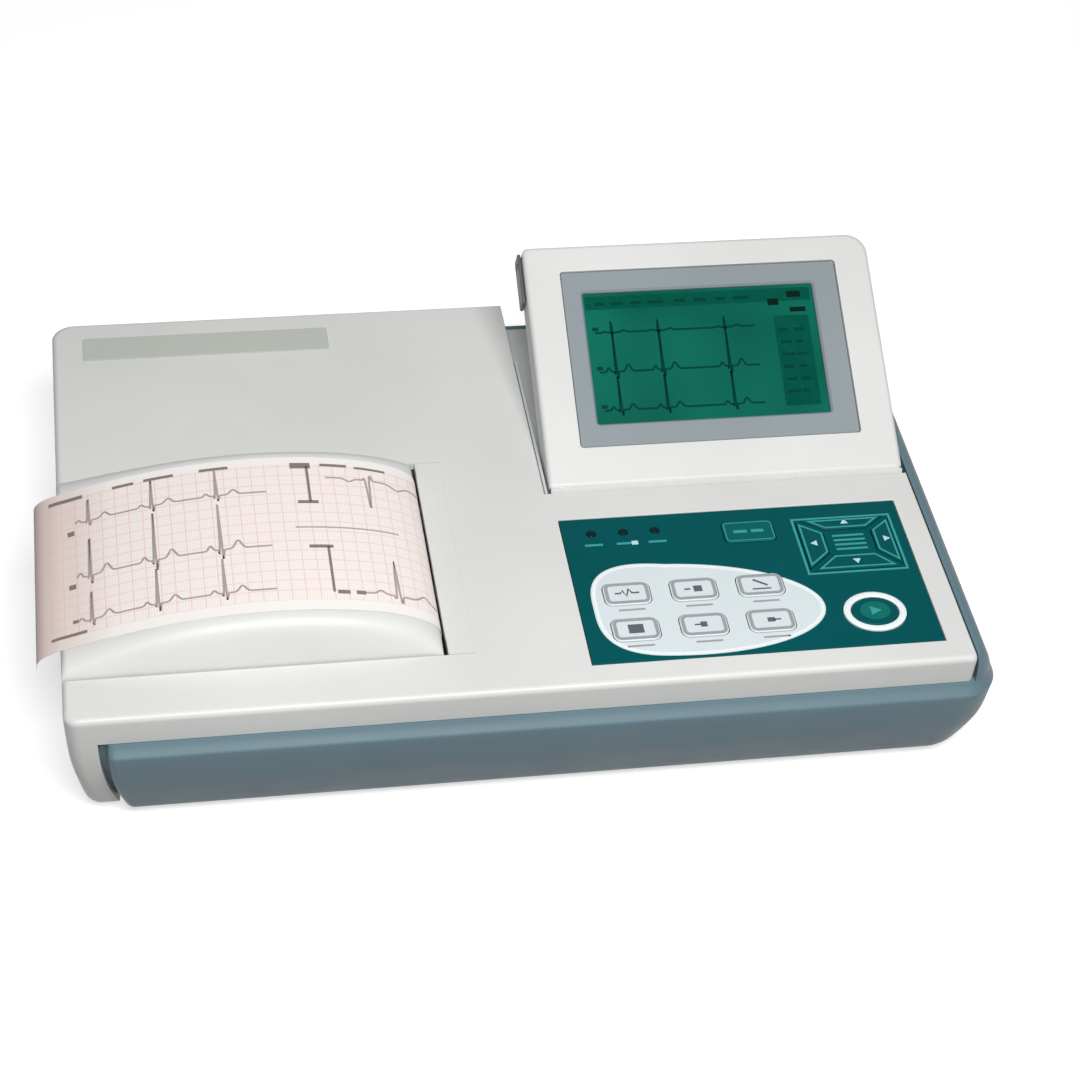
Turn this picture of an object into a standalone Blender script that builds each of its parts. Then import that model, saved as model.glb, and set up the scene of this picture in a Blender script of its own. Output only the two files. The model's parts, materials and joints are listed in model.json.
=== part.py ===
"""Three-channel portable ECG recorder: a flat desktop machine with a vaulted paper door, a membrane keypad
and a display that tilts up out of a tray.

Positions are in millimetres from the front left corner of the deck, with the deck's top face at z = 0,
+X to the right, +Y to the rear and +Z up. place() turns them into metres on the table top.
"""

import math

import bmesh
import bpy
from mathutils import Matrix, Vector

MM = 0.001

# ---------------------------------------------------------------- driving dimensions, in millimetres
DECK_W = 323.0
DECK_D = 216.4
DECK_THICK = 3.0
RIM_Z = -12.0
FLOOR_Z = -52.0
TABLE_Z = -56.0
WALL = 2.5
GAP = 0.3
HOOP_W = 11.5
GROOVE_W = 3.1
FRONT_BULGE = 4.0
SIDE_BULGE = 10.6
HOOP_LEAN = 6.0

PAPER_W = 80.0
PAPER_Y0 = 29.9
PAPER_Y1 = PAPER_Y0 + PAPER_W
PAPER_THICK = 0.35
PAPER_OVERHANG = 8.2

DOOR_Y0 = 20.4
DOOR_Y1 = 120.5
DOOR_X0 = 0.6
DOOR_X1 = 132.7
DOOR_CROWN_X = 75.0
DOOR_CROWN_Z = 16.8
DOOR_ARC_R = 215.0
DOOR_END_ROLL = 9.4
DOOR_SKIN = 1.8
DOOR_PIN = (4.0, -5.0)
SLOT_X1 = 135.4
TEAR_BAR_X1 = 143.5

PLATEN_X = 126.5
PLATEN_Z = -8.0
PLATEN_R = 6.0
GEAR_MODULE = 0.8
PLATEN_TEETH = 15
IDLER_TEETH = 30
PINION_TEETH = 12
GEAR_Y0 = 115.6
GEAR_Y1 = 118.2
ROLL_X = 62.0
ROLL_Z = -24.0
ROLL_R = 21.0

RECESS_X0 = 181.2
RECESS_Y0 = 100.2
RECESS_FLOOR_Z = -11.5
DISPLAY_X0 = 183.3
DISPLAY_X1 = 321.3
DISPLAY_H = 100.0
DISPLAY_T = 13.6
DISPLAY_TILT = 28.0
HINGE_Y = 106.6
HINGE_Z = -2.1
HINGE_V = 3.0
HINGE_W = 5.0
LUG_XS = (200.0, 304.6)

KEYPAD = (184.0, 312.9, 10.1, 84.9)
KEY_LIFT = 0.5
KEY_FLANGE = 0.8
KEY_W = 17.2
KEY_D = 11.3
KEY_COLUMNS = (202.4, 227.2, 252.0)
KEY_ROWS = (43.9, 25.7)
ARROW_PAD = (271.6, 308.8, 48.2, 77.2)
ARROW_CORE = (282.6, 299.1, 57.8, 69.7)
START_CENTRE = (290.9, 26.7)
START_RADII = (11.6, 9.9)
RING_W = 2.6
LIGHT_XS = (194.9, 206.9, 218.9)
LIGHT_Y = 76.6

X_MID = (DECK_W + SIDE_BULGE - PAPER_OVERHANG) / 2
Y_MID = DECK_D / 2

# ---------------------------------------------------------------- materials: colour, roughness, metallic
PALETTE = {
    "white_plastic": ((0.76, 0.77, 0.76), 0.45, 0.0),
    "blue_grey_plastic": ((0.15, 0.21, 0.24), 0.45, 0.0),
    "grey_plastic": ((0.55, 0.58, 0.59), 0.5, 0.0),
    "dark_plastic": ((0.12, 0.12, 0.125), 0.5, 0.0),
    "frame_grey": ((0.34, 0.39, 0.42), 0.4, 0.0),
    "lcd_green": ((0.005, 0.16, 0.11), 0.15, 0.0),
    "keypad_teal": ((0.004, 0.075, 0.085), 0.4, 0.0),
    "key_white": ((0.78, 0.82, 0.82), 0.4, 0.0),
    "start_teal": ((0.0, 0.14, 0.13), 0.35, 0.0),
    "light_lens": ((0.05, 0.08, 0.08), 0.2, 0.0),
    "label_grey": ((0.60, 0.64, 0.60), 0.5, 0.0),
    "paper": ((0.90, 0.80, 0.77), 0.8, 0.0),
    "rubber": ((0.02, 0.02, 0.02), 0.8, 0.0),
    "steel": ((0.55, 0.55, 0.55), 0.3, 1.0),
    "gear_white": ((0.70, 0.70, 0.66), 0.4, 0.0),
    "circuit_green": ((0.01, 0.12, 0.04), 0.5, 0.0),
    "battery_blue": ((0.03, 0.06, 0.20), 0.5, 0.0),
    "aluminium": ((0.70, 0.70, 0.72), 0.35, 1.0),
}


def material(name):
    """The shared Principled material of that name."""
    found = bpy.data.materials.get(name)
    if found:
        return found
    colour, roughness, metallic = PALETTE[name]
    made = bpy.data.materials.new(name)
    made.use_nodes = True
    shader = made.node_tree.nodes["Principled BSDF"]
    shader.inputs["Base Color"].default_value = (*colour, 1.0)
    shader.inputs["Roughness"].default_value = roughness
    shader.inputs["Metallic"].default_value = metallic
    return made


# ---------------------------------------------------------------- frame and object helpers
def place(x, y, z):
    """A deck position in millimetres as a world position in metres, with the table top at z = 0."""
    return Vector((x - X_MID, y - Y_MID, z - TABLE_Z)) * MM


def empty(name, pivot, tilt_deg=0.0):
    """An empty on a joint's axis, turned about X."""
    made = bpy.data.objects.new(name, None)
    made.location = place(*pivot)
    made.rotation_euler = (math.radians(tilt_deg), 0.0, 0.0)
    bpy.context.scene.collection.objects.link(made)
    return made


def to_object(name, bm, pivot, parent=None):
    """A bmesh in deck millimetres as an object whose origin is at pivot, or at its parent's origin."""
    bmesh.ops.recalc_face_normals(bm, faces=bm.faces)
    shift = Matrix.Translation(-Vector(pivot))
    bmesh.ops.transform(bm, matrix=Matrix.Scale(MM, 4) @ shift, verts=bm.verts)
    mesh = bpy.data.meshes.new(name)
    bm.to_mesh(mesh)
    bm.free()
    made = bpy.data.objects.new(name, mesh)
    bpy.context.scene.collection.objects.link(made)
    if parent:
        made.parent = parent
    else:
        made.location = place(*pivot)
    return made


def part(name, colour, base, add=(), cut=(), join=(), bore=(), pivot=None, parent=None, smooth=False):
    """One named piece: a base solid with others added and cut, then with details joined inside and bored."""
    if pivot is None:
        pivot = HINGE_PIVOT if parent else (X_MID, Y_MID, TABLE_Z)
    made = to_object(name, base, pivot, parent)
    made.data.materials.append(material(colour))
    steps = (("add", "UNION", add), ("cut", "DIFFERENCE", cut),
             ("join", "UNION", join), ("bore", "DIFFERENCE", bore))
    for step, operation, tools in steps:
        for number, tool in enumerate(tools):
            helper = to_object(f"{name}_{step}_{number}", tool, pivot, parent)
            helper.hide_render = True
            helper.display_type = "WIRE"
            change = made.modifiers.new(f"{step}_{number}", "BOOLEAN")
            change.operation = operation
            change.solver = "EXACT"
            change.object = helper
    if smooth:
        made.data.shade_smooth()
        made.data.set_sharp_from_angle(angle=math.radians(35))
    return made


# ---------------------------------------------------------------- outlines
def arc(cx, cy, rx, ry, start_deg, end_deg, steps):
    """Points along an arc of an ellipse, both ends included."""
    turns = [math.radians(start_deg + (end_deg - start_deg) * i / steps) for i in range(steps + 1)]
    return [(cx + rx * math.cos(t), cy + ry * math.sin(t)) for t in turns]


def rounded_rect(x0, x1, y0, y1, radii, steps=3):
    """An outline with its corners rounded: front left, front right, rear right and rear left radius."""
    if not isinstance(radii, tuple):
        radii = (radii,) * 4
    front_left, front_right, rear_right, rear_left = radii
    outline = arc(x0 + front_left, y0 + front_left, front_left, front_left, 180, 270, steps)
    outline += arc(x1 - front_right, y0 + front_right, front_right, front_right, 270, 360, steps)
    outline += arc(x1 - rear_right, y1 - rear_right, rear_right, rear_right, 0, 90, steps)
    outline += arc(x0 + rear_left, y1 - rear_left, rear_left, rear_left, 90, 180, steps)
    return outline


def ellipse(cx, cy, rx, ry, steps=24):
    return arc(cx, cy, rx, ry, 0, 360 - 360 / steps, steps - 1)


def grow(outline, distance):
    """A convex counter-clockwise outline with each side moved outwards."""
    count = len(outline)
    grown = []
    for i in range(count):
        before, here, after = (Vector(outline[j % count]) for j in (i - 1, i, i + 1))
        first = (here - before).normalized()
        second = (after - here).normalized()
        normal_1 = Vector((first.y, -first.x))
        normal_2 = Vector((second.y, -second.x))
        mitre = (normal_1 + normal_2) / (1 + normal_1.dot(normal_2))
        grown.append(tuple(here + mitre * distance))
    return grown


# ---------------------------------------------------------------- solids, as bmeshes in deck millimetres
def loft(sections):
    """A closed body through outlines of equal length, each given as (z, outline)."""
    bm = bmesh.new()
    rings = [[bm.verts.new((x, y, z)) for x, y in outline] for z, outline in sections]
    count = len(rings[0])
    for low, high in zip(rings, rings[1:]):
        for i in range(count):
            j = (i + 1) % count
            bm.faces.new((low[i], low[j], high[j], high[i]))
    bm.faces.new(rings[0][::-1])
    bm.faces.new(rings[-1])
    return bm


def box(x0, x1, y0, y1, z0, z1):
    corners = [(x0, y0), (x1, y0), (x1, y1), (x0, y1)]
    return loft([(z0, corners), (z1, corners)])


def prism(outline, axis, start, end):
    """An outline pushed along an axis. On 'Y' the outline is (x, z), on 'X' it is (y, z)."""
    bm = loft([(start, outline), (end, outline)])
    if axis == "Y":
        turn = Matrix(((1, 0, 0, 0), (0, 0, 1, 0), (0, 1, 0, 0), (0, 0, 0, 1)))
    elif axis == "X":
        turn = Matrix(((0, 0, 1, 0), (1, 0, 0, 0), (0, 1, 0, 0), (0, 0, 0, 1)))
    else:
        turn = Matrix.Identity(4)
    bmesh.ops.transform(bm, matrix=turn, verts=bm.verts)
    return bm


def rod(axis, centre, radius, start, end, steps=20):
    """A cylinder along an axis, from start to end on it. centre holds the two other coordinates."""
    return prism(ellipse(*centre, radius, radius, steps), axis, start, end)


def tube(axis, centre, radius, bore, start, end, steps=24):
    """A cylinder with a hole right through it."""
    outer = ellipse(*centre, radius, radius, steps)
    inner = ellipse(*centre, bore, bore, steps)
    return ring_prism(outer, inner, axis, start, end)


def ring_prism(outer, inner, axis, start, end):
    """A prism with an opening of the same number of points."""
    bm = bmesh.new()
    spin = {
        "X": lambda a, b, c: (c, a, b),
        "Y": lambda a, b, c: (a, c, b),
        "Z": lambda a, b, c: (a, b, c),
    }[axis]
    rings = []
    for outline in (outer, inner):
        for level in (start, end):
            rings.append([bm.verts.new(spin(a, b, level)) for a, b in outline])
    outer_low, outer_high, inner_low, inner_high = rings
    count = len(outer)
    for i in range(count):
        j = (i + 1) % count
        bm.faces.new((outer_low[i], outer_low[j], outer_high[j], outer_high[i]))
        bm.faces.new((inner_low[j], inner_low[i], inner_high[i], inner_high[j]))
        bm.faces.new((outer_high[i], outer_high[j], inner_high[j], inner_high[i]))
        bm.faces.new((outer_low[j], outer_low[i], inner_low[i], inner_low[j]))
    return bm


def involute(angle):
    return math.tan(angle) - angle


def gear_outline(centre, teeth, first_tooth_deg):
    """Spur gear teeth with involute flanks. first_tooth_deg is where one tooth's middle points."""
    pressure = math.radians(25)
    pitch_r = GEAR_MODULE * teeth / 2
    base_r = pitch_r * math.cos(pressure)
    root_r = pitch_r - 1.15 * GEAR_MODULE
    tip_r = pitch_r + 0.8 * GEAR_MODULE
    backlash = 0.9
    half_pitch = math.pi / (2 * teeth) * backlash
    radii = [root_r, (root_r + tip_r) / 2, tip_r]
    half_angles = []
    for r in radii:
        pressed = math.acos(min(1.0, base_r / r))
        half_angles.append(half_pitch + involute(pressure) - involute(pressed))
    outline = []
    for tooth in range(teeth):
        middle = math.radians(first_tooth_deg) + 2 * math.pi * tooth / teeth
        flank = [(r, middle - half) for r, half in zip(radii, half_angles)]
        flank += [(r, middle + half) for r, half in zip(radii[::-1], half_angles[::-1])]
        outline += [(centre[0] + r * math.cos(a), centre[1] + r * math.sin(a)) for r, a in flank]
    return outline


# ---------------------------------------------------------------- shells
TOP_SECTIONS = (  # z, left edge, front and rear inset
    (FLOOR_Z, 10.0, 11.0),
    (-51.2, 7.6, 9.0),
    (-49.0, 5.6, 7.5),
    (-36.0, 3.5, 3.2),
    (-24.0, 1.7, 1.0),
    (RIM_Z, 0.9, 0.2),
    (-2.2, 0.5, 0.0),
    (-0.9, 0.95, 0.45),
    (-0.3, 1.6, 1.1),
    (0.0, 2.7, 2.2),
)
LOWER_SECTIONS = (  # z, right edge, front and rear inset, right corner radius
    (FLOOR_Z, 322.0, 8.0, 13.0),
    (-51.2, 325.0, 6.0, 14.0),
    (-49.0, 328.0, 3.6, 15.0),
    (-38.0, 332.0, -0.6, 17.0),
    (-30.0, 333.4, -2.8, 17.0),
    (-20.0, 333.6, -FRONT_BULGE, 16.0),
    (-16.0, 333.2, -FRONT_BULGE, 14.0),
    (RIM_Z - GAP, 331.6, -0.5, 11.0),
    (-8.0, 330.0, -0.2, 9.0),
    (-4.0, 328.0, 0.6, 7.5),
    (-2.0, 325.9, 1.6, 6.0),
    (-1.4, 324.6, 2.6, 5.0),
)
LEFT_CORNER_R = (5.0, 8.0)
BATTERY_BAY = (150.0, 232.0, 122.0, 192.0)
REAR_PANEL = (28.0, 152.0, -44.0, -15.0)
SIDE_PANEL = (44.0, 96.0, -38.0, -17.0)
FOOT_SPOTS = ((34.0, 28.0), (290.0, 28.0), (34.0, 188.4), (290.0, 188.4))
SCREW_SPOTS = ((60.0, 17.0), (250.0, 17.0), (60.0, 199.4), (250.0, 199.4))


def deck_outline(x0, inset, shrink=0.0):
    """The top cover's outline at one height: soft left corners and nearly square right ones."""
    front_left, rear_left = LEFT_CORNER_R
    radii = (front_left, 2.0, 2.0, rear_left)
    x1 = DECK_W - 0.4 - shrink
    return rounded_rect(x0 + shrink, x1, inset + shrink, DECK_D - inset - shrink, radii)


def hoop_edge(z):
    """Where the hoop that wraps the left end stops: its edge leans to the right towards the floor."""
    depth = min(max((RIM_Z - z) / (RIM_Z - FLOOR_Z), 0.0), 1.0)
    return HOOP_W + HOOP_LEAN * depth * depth


def hoop_side(reach, margin=0.0):
    """A block that takes everything below the rim on the right of the hoop's edge, or on its left."""
    levels = [row[0] for row in LOWER_SECTIONS if row[0] <= RIM_Z]
    edge = [(hoop_edge(z) + margin, z) for z in levels] + [(HOOP_W + margin, RIM_Z)]
    edge = [(hoop_edge(FLOOR_Z) + margin, -70.0)] + edge
    outline = edge + [(reach, RIM_Z), (reach, -70.0)]
    return prism(outline, "Y", -50, 300)


def top_cover():
    outer = loft([(z, deck_outline(x0, inset)) for z, x0, inset in TOP_SECTIONS])
    inner_levels = [row for row in TOP_SECTIONS if -49.5 < row[0] < -5.0]
    inner = [(z, deck_outline(x0, inset, WALL)) for z, x0, inset in inner_levels]
    inner.append((-DECK_THICK, deck_outline(0.6, 0.1, WALL)))
    opening_y = (DOOR_Y0 - 0.8, DOOR_Y1 + 0.8)
    x0, x1, y0, y1 = KEYPAD
    boss_z = (-8.6, -2.5)
    cuts = [
        hoop_side(400.0),
        loft(inner),
        box(-20, TEAR_BAR_X1 + GAP, *opening_y, -6.0, 5.0),
        box(-20, 5.2, *opening_y, -10.6, -2.0),
        box(x0 - GAP, x1 + GAP, y0 - GAP, y1 + GAP, -2.0, 5.0),
        box(x0 + 3.5, x1 - 3.5, y0 + 3.5, y1 - 3.5, -6.0, 5.0),
        box(RECESS_X0, 400, RECESS_Y0, 300, -30, 5.0),
    ]
    bores = [rod("Y", DOOR_PIN, 1.5, opening_y[0] - 3.5, opening_y[1] + 3.5)]
    pin_x, _ = DOOR_PIN
    lugs = [
        box(pin_x - 1.4, pin_x + 4.5, opening_y[0] - 5.0, opening_y[0], *boss_z),
        box(pin_x - 1.4, pin_x + 4.5, opening_y[1], opening_y[1] + 5.0, *boss_z),
    ]
    part("top_cover", "white_plastic", outer, cut=cuts, join=lugs, bore=bores)


def lower_outline(x0, x1, inset, corner):
    """The lower shell's outline at one height, square on the left and round on the right."""
    return rounded_rect(x0, x1, inset, DECK_D - inset, (0.6, corner, corner, 0.6), 5)


def bottom_cover():
    """The blue-grey tub. Its right side climbs past the deck's edge, and its left end tucks into the hoop."""
    shell_x0 = HOOP_W + GROOVE_W
    outer = loft([(z, lower_outline(hoop_edge(z) + GROOVE_W, x1, inset, r)) for z, x1, inset, r in LOWER_SECTIONS])
    hollow = [(FLOOR_Z + WALL, lower_outline(shell_x0 + 2, 320.0, 8.0, 12.0))]
    for z, x1, inset, corner in LOWER_SECTIONS:
        if -45 < z < -6:
            inside = max(inset + WALL, 2.4)
            hollow.append((z, lower_outline(shell_x0 + 2, x1 - 1.5 * WALL, inside, max(corner - WALL, 6.0))))
    neck = []
    neck_hollow = []
    front_r, rear_r = LEFT_CORNER_R
    for z, left, inset in TOP_SECTIONS:
        if -49.5 < z <= RIM_Z:
            level = max(z, -48.7) if z < RIM_Z else RIM_Z - GAP
            near = inset + WALL + GAP
            neck.append((level, rounded_rect(left + WALL + GAP, shell_x0 + 10, near, DECK_D - near,
                                             (front_r, 0.6, 0.6, rear_r))))
            near += 1.8
            neck_hollow.append((level, rounded_rect(2.0, shell_x0 + 14, near, DECK_D - near, 0.6)))
    neck_hollow[0] = (FLOOR_Z + 2 * WALL, neck_hollow[0][1])
    neck_hollow[-1] = (0.0, neck_hollow[-1][1])
    adds = [loft(neck)]
    cuts = [loft(hollow), loft(neck_hollow), box(-50, DECK_W + GAP, -50, 300, RIM_Z - GAP, 20),
            box(-50, HOOP_W - 2.9, -50, 300, -60, 20)]
    cuts += [rod("Z", spot, 2.3, -60, -40, 12) for spot in FOOT_SPOTS]
    cuts += [rod("Z", spot, 3.2, -60, -40, 12) for spot in SCREW_SPOTS]
    bay_x0, bay_x1, bay_y0, bay_y1 = BATTERY_BAY
    cuts.append(box(bay_x0, bay_x1, bay_y0, bay_y1, -60, -40))
    px0, px1, pz0, pz1 = REAR_PANEL
    cuts.append(box(px0 - GAP, px1 + GAP, DECK_D - 12, DECK_D + 20, pz0 - GAP, pz1 + GAP))
    sy0, sy1, sz0, sz1 = SIDE_PANEL
    cuts.append(box(DECK_W - 12, DECK_W + 20, sy0 - GAP, sy1 + GAP, sz0 - GAP, sz1 + GAP))
    part("bottom_cover", "blue_grey_plastic", outer, adds, cuts)


def feet():
    for number, (x, y) in enumerate(FOOT_SPOTS, 1):
        pad = loft([
            (TABLE_Z, ellipse(x, y, 7.0, 7.0, 20)),
            (TABLE_Z + 1.0, ellipse(x, y, 7.6, 7.6, 20)),
            (FLOOR_Z - GAP, ellipse(x, y, 8.0, 8.0, 20)),
            (FLOOR_Z - GAP, ellipse(x, y, 1.9, 1.9, 20)),
            (FLOOR_Z + 3.0, ellipse(x, y, 1.9, 1.9, 20)),
        ])
        part(f"foot_{number}", "rubber", pad, smooth=True)


def battery():
    x0, x1, y0, y1 = BATTERY_BAY
    part("battery_cover", "blue_grey_plastic",
         box(x0 + GAP, x1 - GAP, y0 + GAP, y1 - GAP, FLOOR_Z, FLOOR_Z + 2.0),
         cut=[box(x0 + 34, x1 - 34, y0 + 6, y0 + 12, FLOOR_Z - 1, FLOOR_Z + 1.0)])
    cells = box(x0 + 3, x1 - 3, y0 + 3, y1 - 3, FLOOR_Z + 2.4, FLOOR_Z + 24)
    part("battery_pack", "battery_blue", cells)


# ---------------------------------------------------------------- display
HINGE_PIVOT = (X_MID, HINGE_Y, HINGE_Z)
FLAT_Y = HINGE_Y - HINGE_V
FLAT_Z = HINGE_Z + HINGE_W
WINDOW = (197.1, 307.2, 15.8, 89.0)
SCREEN = (205.0, 297.0, 25.3, 80.1)
CATCH_V = (78.0, 99.0)


def display_tray():
    y0 = RECESS_Y0 + 0.4
    y1 = DECK_D - WALL - 0.5
    x0 = RECESS_X0 + GAP
    x1 = DECK_W - 0.4
    plan = rounded_rect(x0, x1, y0, y1, (0.3, 0.3, 14.0, 0.3), 5)
    floor = prism(plan, "Z", RECESS_FLOOR_Z - 2.0, RECESS_FLOOR_Z)
    adds = [
        box(x0, x0 + 1.0, y0, FLAT_Y + CATCH_V[0] - 2, RECESS_FLOOR_Z - 1.0, -0.4),
        box(x0, x1, y0, y0 + 1.2, RECESS_FLOOR_Z - 1.0, -7.5),
    ]
    bores = []
    for x in LUG_XS:
        lug = [(HINGE_Y - 2.6, RECESS_FLOOR_Z - 1.0), (HINGE_Y + 2.6, RECESS_FLOOR_Z - 1.0)]
        lug += arc(HINGE_Y, HINGE_Z, 2.6, 2.6, 0, 180, 8)
        adds.append(prism(lug, "X", x - 2, x + 2))
        bores.append(rod("X", (HINGE_Y, HINGE_Z), 1.5, x - 4, x + 4))
    part("display_tray", "grey_plastic", floor, adds, bores)
    for side, x in zip(("left", "right"), LUG_XS):
        pin = rod("X", (HINGE_Y, HINGE_Z), 1.2, x - 7, x + 7)
        part(f"hinge_pin_{side}", "steel", pin, smooth=True)


def display_section(w, side=0.0, bottom=0.0, top=0.0):
    """The housing's outline at a depth w behind its front face, lying flat."""
    outline = rounded_rect(DISPLAY_X0 + side, DISPLAY_X1 - side, FLAT_Y + bottom,
                           FLAT_Y + DISPLAY_H - top, (1.5, 2.0, 8.0, 2.5), 4)
    return FLAT_Z - w, outline


def display():
    hinge = empty("display_hinge", HINGE_PIVOT, DISPLAY_TILT)
    wx0, wx1, wv0, wv1 = WINDOW
    sx0, sx1, sv0, sv1 = SCREEN
    front = [display_section(2.0), display_section(0.8), display_section(0.25, 0.25, 0.25, 0.25),
             display_section(0.0, 0.8, 0.8, 0.8)]
    part("display_bezel", "white_plastic", loft(front), parent=hinge,
         cut=[box(wx0, wx1, FLAT_Y + wv0, FLAT_Y + wv1, -5, 10)])

    back = [display_section(DISPLAY_T, 2.0, 6.0, 3.0), display_section(13.0, 0.7, 3.4, 1.4),
            display_section(11.6, 0.0, 1.5, 0.3), display_section(10.0, 0.0, 0.5, 0.0),
            display_section(7.6), display_section(2.3)]
    hollow = rounded_rect(DISPLAY_X0 + 2, DISPLAY_X1 - 2, FLAT_Y + 9, FLAT_Y + DISPLAY_H - 2, (0.5, 0.5, 6.0, 0.5), 4)
    cuts = [prism(hollow, "Z", FLAT_Z - DISPLAY_T + 2, 10)]
    for x in LUG_XS:
        cuts.append(box(x - 2.6, x + 2.6, FLAT_Y - 2, FLAT_Y + 6.8, FLAT_Z - 20, 10))
        cuts.append(rod("X", (HINGE_Y, HINGE_Z), 1.5, x - 7.4, x + 7.4))
    part("display_back_cover", "grey_plastic", loft(back), cut=cuts, parent=hinge)

    frame_outer = rounded_rect(wx0 + GAP, wx1 - GAP, FLAT_Y + wv0 + GAP, FLAT_Y + wv1 - GAP, 1.0, 2)
    frame_inner = rounded_rect(sx0, sx1, FLAT_Y + sv0, FLAT_Y + sv1, 1.0, 2)
    part("display_frame", "frame_grey", parent=hinge,
         base=ring_prism(frame_outer, frame_inner, "Z", FLAT_Z - 2.6, FLAT_Z - 0.7))

    module = box(sx0 - 4, sx1 + 4, FLAT_Y + sv0 - 4, FLAT_Y + sv1 + 4, FLAT_Z - 6.0, FLAT_Z - 2.9)
    board = box(sx0 - 6, sx1 + 6, FLAT_Y + sv0 - 8, FLAT_Y + sv1 + 8, FLAT_Z - 8.0, FLAT_Z - 5.5)
    part("lcd_module", "lcd_green", module, [board], parent=hinge)

    v0, v1 = CATCH_V
    pad = box(DISPLAY_X0 - 1.5, DISPLAY_X0 - GAP, FLAT_Y + v0, FLAT_Y + v1, FLAT_Z - 12, FLAT_Z - 3)
    nub = rod("Z", (DISPLAY_X0 - 1.15, FLAT_Y + 95.0), 0.75, FLAT_Z - 9, FLAT_Z - 5, 12)
    part("display_catch", "dark_plastic", pad, [nub], parent=hinge)


# ---------------------------------------------------------------- keypad
def keypad_outlines():
    """Each key's name, colour and outline."""
    keys = []
    number = 1
    for y in KEY_ROWS:
        for x in KEY_COLUMNS:
            outline = rounded_rect(x - KEY_W / 2, x + KEY_W / 2, y - KEY_D / 2, y + KEY_D / 2, 3.0)
            keys.append((f"key_{number}", "key_white", outline))
            number += 1
    keys.append(("mode_key", "keypad_teal", rounded_rect(244.2, 263.6, 66.9, 77.8, 2.0)))
    ax0, ax1, ay0, ay1 = ARROW_PAD
    cx0, cx1, cy0, cy1 = ARROW_CORE
    trapezia = {
        "arrow_up_key": [(cx0, cy1), (cx1, cy1), (ax1, ay1), (ax0, ay1)],
        "arrow_down_key": [(ax0, ay0), (ax1, ay0), (cx1, cy0), (cx0, cy0)],
        "arrow_left_key": [(ax0, ay0), (cx0, cy0), (cx0, cy1), (ax0, ay1)],
        "arrow_right_key": [(cx1, cy0), (ax1, ay0), (ax1, ay1), (cx1, cy1)],
    }
    for name, corners in trapezia.items():
        keys.append((name, "keypad_teal", grow(corners, -1.0)))
    centre = ellipse(*START_CENTRE, START_RADII[0] - RING_W - GAP, START_RADII[1] - RING_W - GAP)
    keys.append(("start_key", "start_teal", centre))
    return keys


def keypad():
    keys = keypad_outlines()
    x0, x1, y0, y1 = KEYPAD
    panel_z = (-1.7, -0.1)
    holes = [prism(grow(outline, GAP), "Z", -5, 5) for name, _, outline in keys if name != "start_key"]
    holes.append(prism(ellipse(*START_CENTRE, START_RADII[0] + GAP, START_RADII[1] + GAP), "Z", -5, 5))
    holes += [rod("Z", (x, LIGHT_Y), 1.9, -5, 5, 12) for x in LIGHT_XS]
    part("keypad_panel", "keypad_teal", box(x0, x1, y0, y1, *panel_z), cut=holes)

    for name, colour, outline in keys:
        flange = grow(outline, KEY_FLANGE)
        if name.startswith("arrow"):
            flange = grow(outline, 0.5)
        centre_x = sum(p[0] for p in outline) / len(outline)
        centre_y = sum(p[1] for p in outline) / len(outline)
        body = loft([(-2.8, flange), (-2.0, flange), (-2.0, outline), (KEY_LIFT - 0.4, outline),
                     (KEY_LIFT, grow(outline, -0.5))])
        part(name, colour, body, pivot=(centre_x, centre_y, 0.0))

    ring_outer = ellipse(*START_CENTRE, *START_RADII)
    ring_inner = ellipse(*START_CENTRE, START_RADII[0] - RING_W, START_RADII[1] - RING_W)
    part("start_key_ring", "key_white", ring_prism(ring_outer, ring_inner, "Z", -1.7, 0.6), smooth=True)

    lens_bar = box(LIGHT_XS[0] - 2, LIGHT_XS[-1] + 2, LIGHT_Y - 1.6, LIGHT_Y + 1.6, -3.2, -2.2)
    lenses = [rod("Z", (x, LIGHT_Y), 1.6, -2.7, 0.1, 12) for x in LIGHT_XS]
    part("light_pipe", "light_lens", lens_bar, lenses)

    board = box(x0 + 2, x1 - 2, y0 + 2, y1 - 2, -6.2, -4.6)
    domes = []
    for _, _, outline in keys:
        centre_x = sum(p[0] for p in outline) / len(outline)
        centre_y = sum(p[1] for p in outline) / len(outline)
        domes.append(rod("Z", (centre_x, centre_y), 2.0, -5.0, -3.9, 8))
    part("keypad_board", "circuit_green", board, domes)


# ---------------------------------------------------------------- paper door and paper
def vault(x, rise=0.0):
    """The door's outer height at x: a long arc up to the crown, then a quarter ellipse down to the slot."""
    if x <= DOOR_CROWN_X:
        return DOOR_CROWN_Z + rise - (DOOR_CROWN_X - x) ** 2 / (2 * DOOR_ARC_R)
    reach = min(1.0, (x - DOOR_CROWN_X) / (DOOR_X1 + rise - DOOR_CROWN_X))
    return (DOOR_CROWN_Z + rise) * math.sqrt(1 - reach * reach)


def vault_profile(rise):
    """Points (x, z) over the door from its left skirt to its right edge, raised off it by rise."""
    x0 = DOOR_X0 - rise
    left_top = vault(DOOR_X0, rise)
    points = [(x0 + 0.25, -8.2), (x0, left_top - 3.0), (x0 + 0.4, left_top - 1.2)]
    points += [(x, vault(x, rise)) for x in (x0 + 1.6, 10, 20, 32, 46, 60)]
    span = DOOR_X1 + rise - DOOR_CROWN_X
    for degrees in (90, 78, 66, 54, 42, 30, 19, 9):
        angle = math.radians(degrees)
        points.append((DOOR_CROWN_X + span * math.cos(angle), (DOOR_CROWN_Z + rise) * math.sin(angle)))
    points.append((DOOR_X1 + rise, -0.2))
    points.append((DOOR_X1 + rise, -2.8))
    return points


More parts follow.
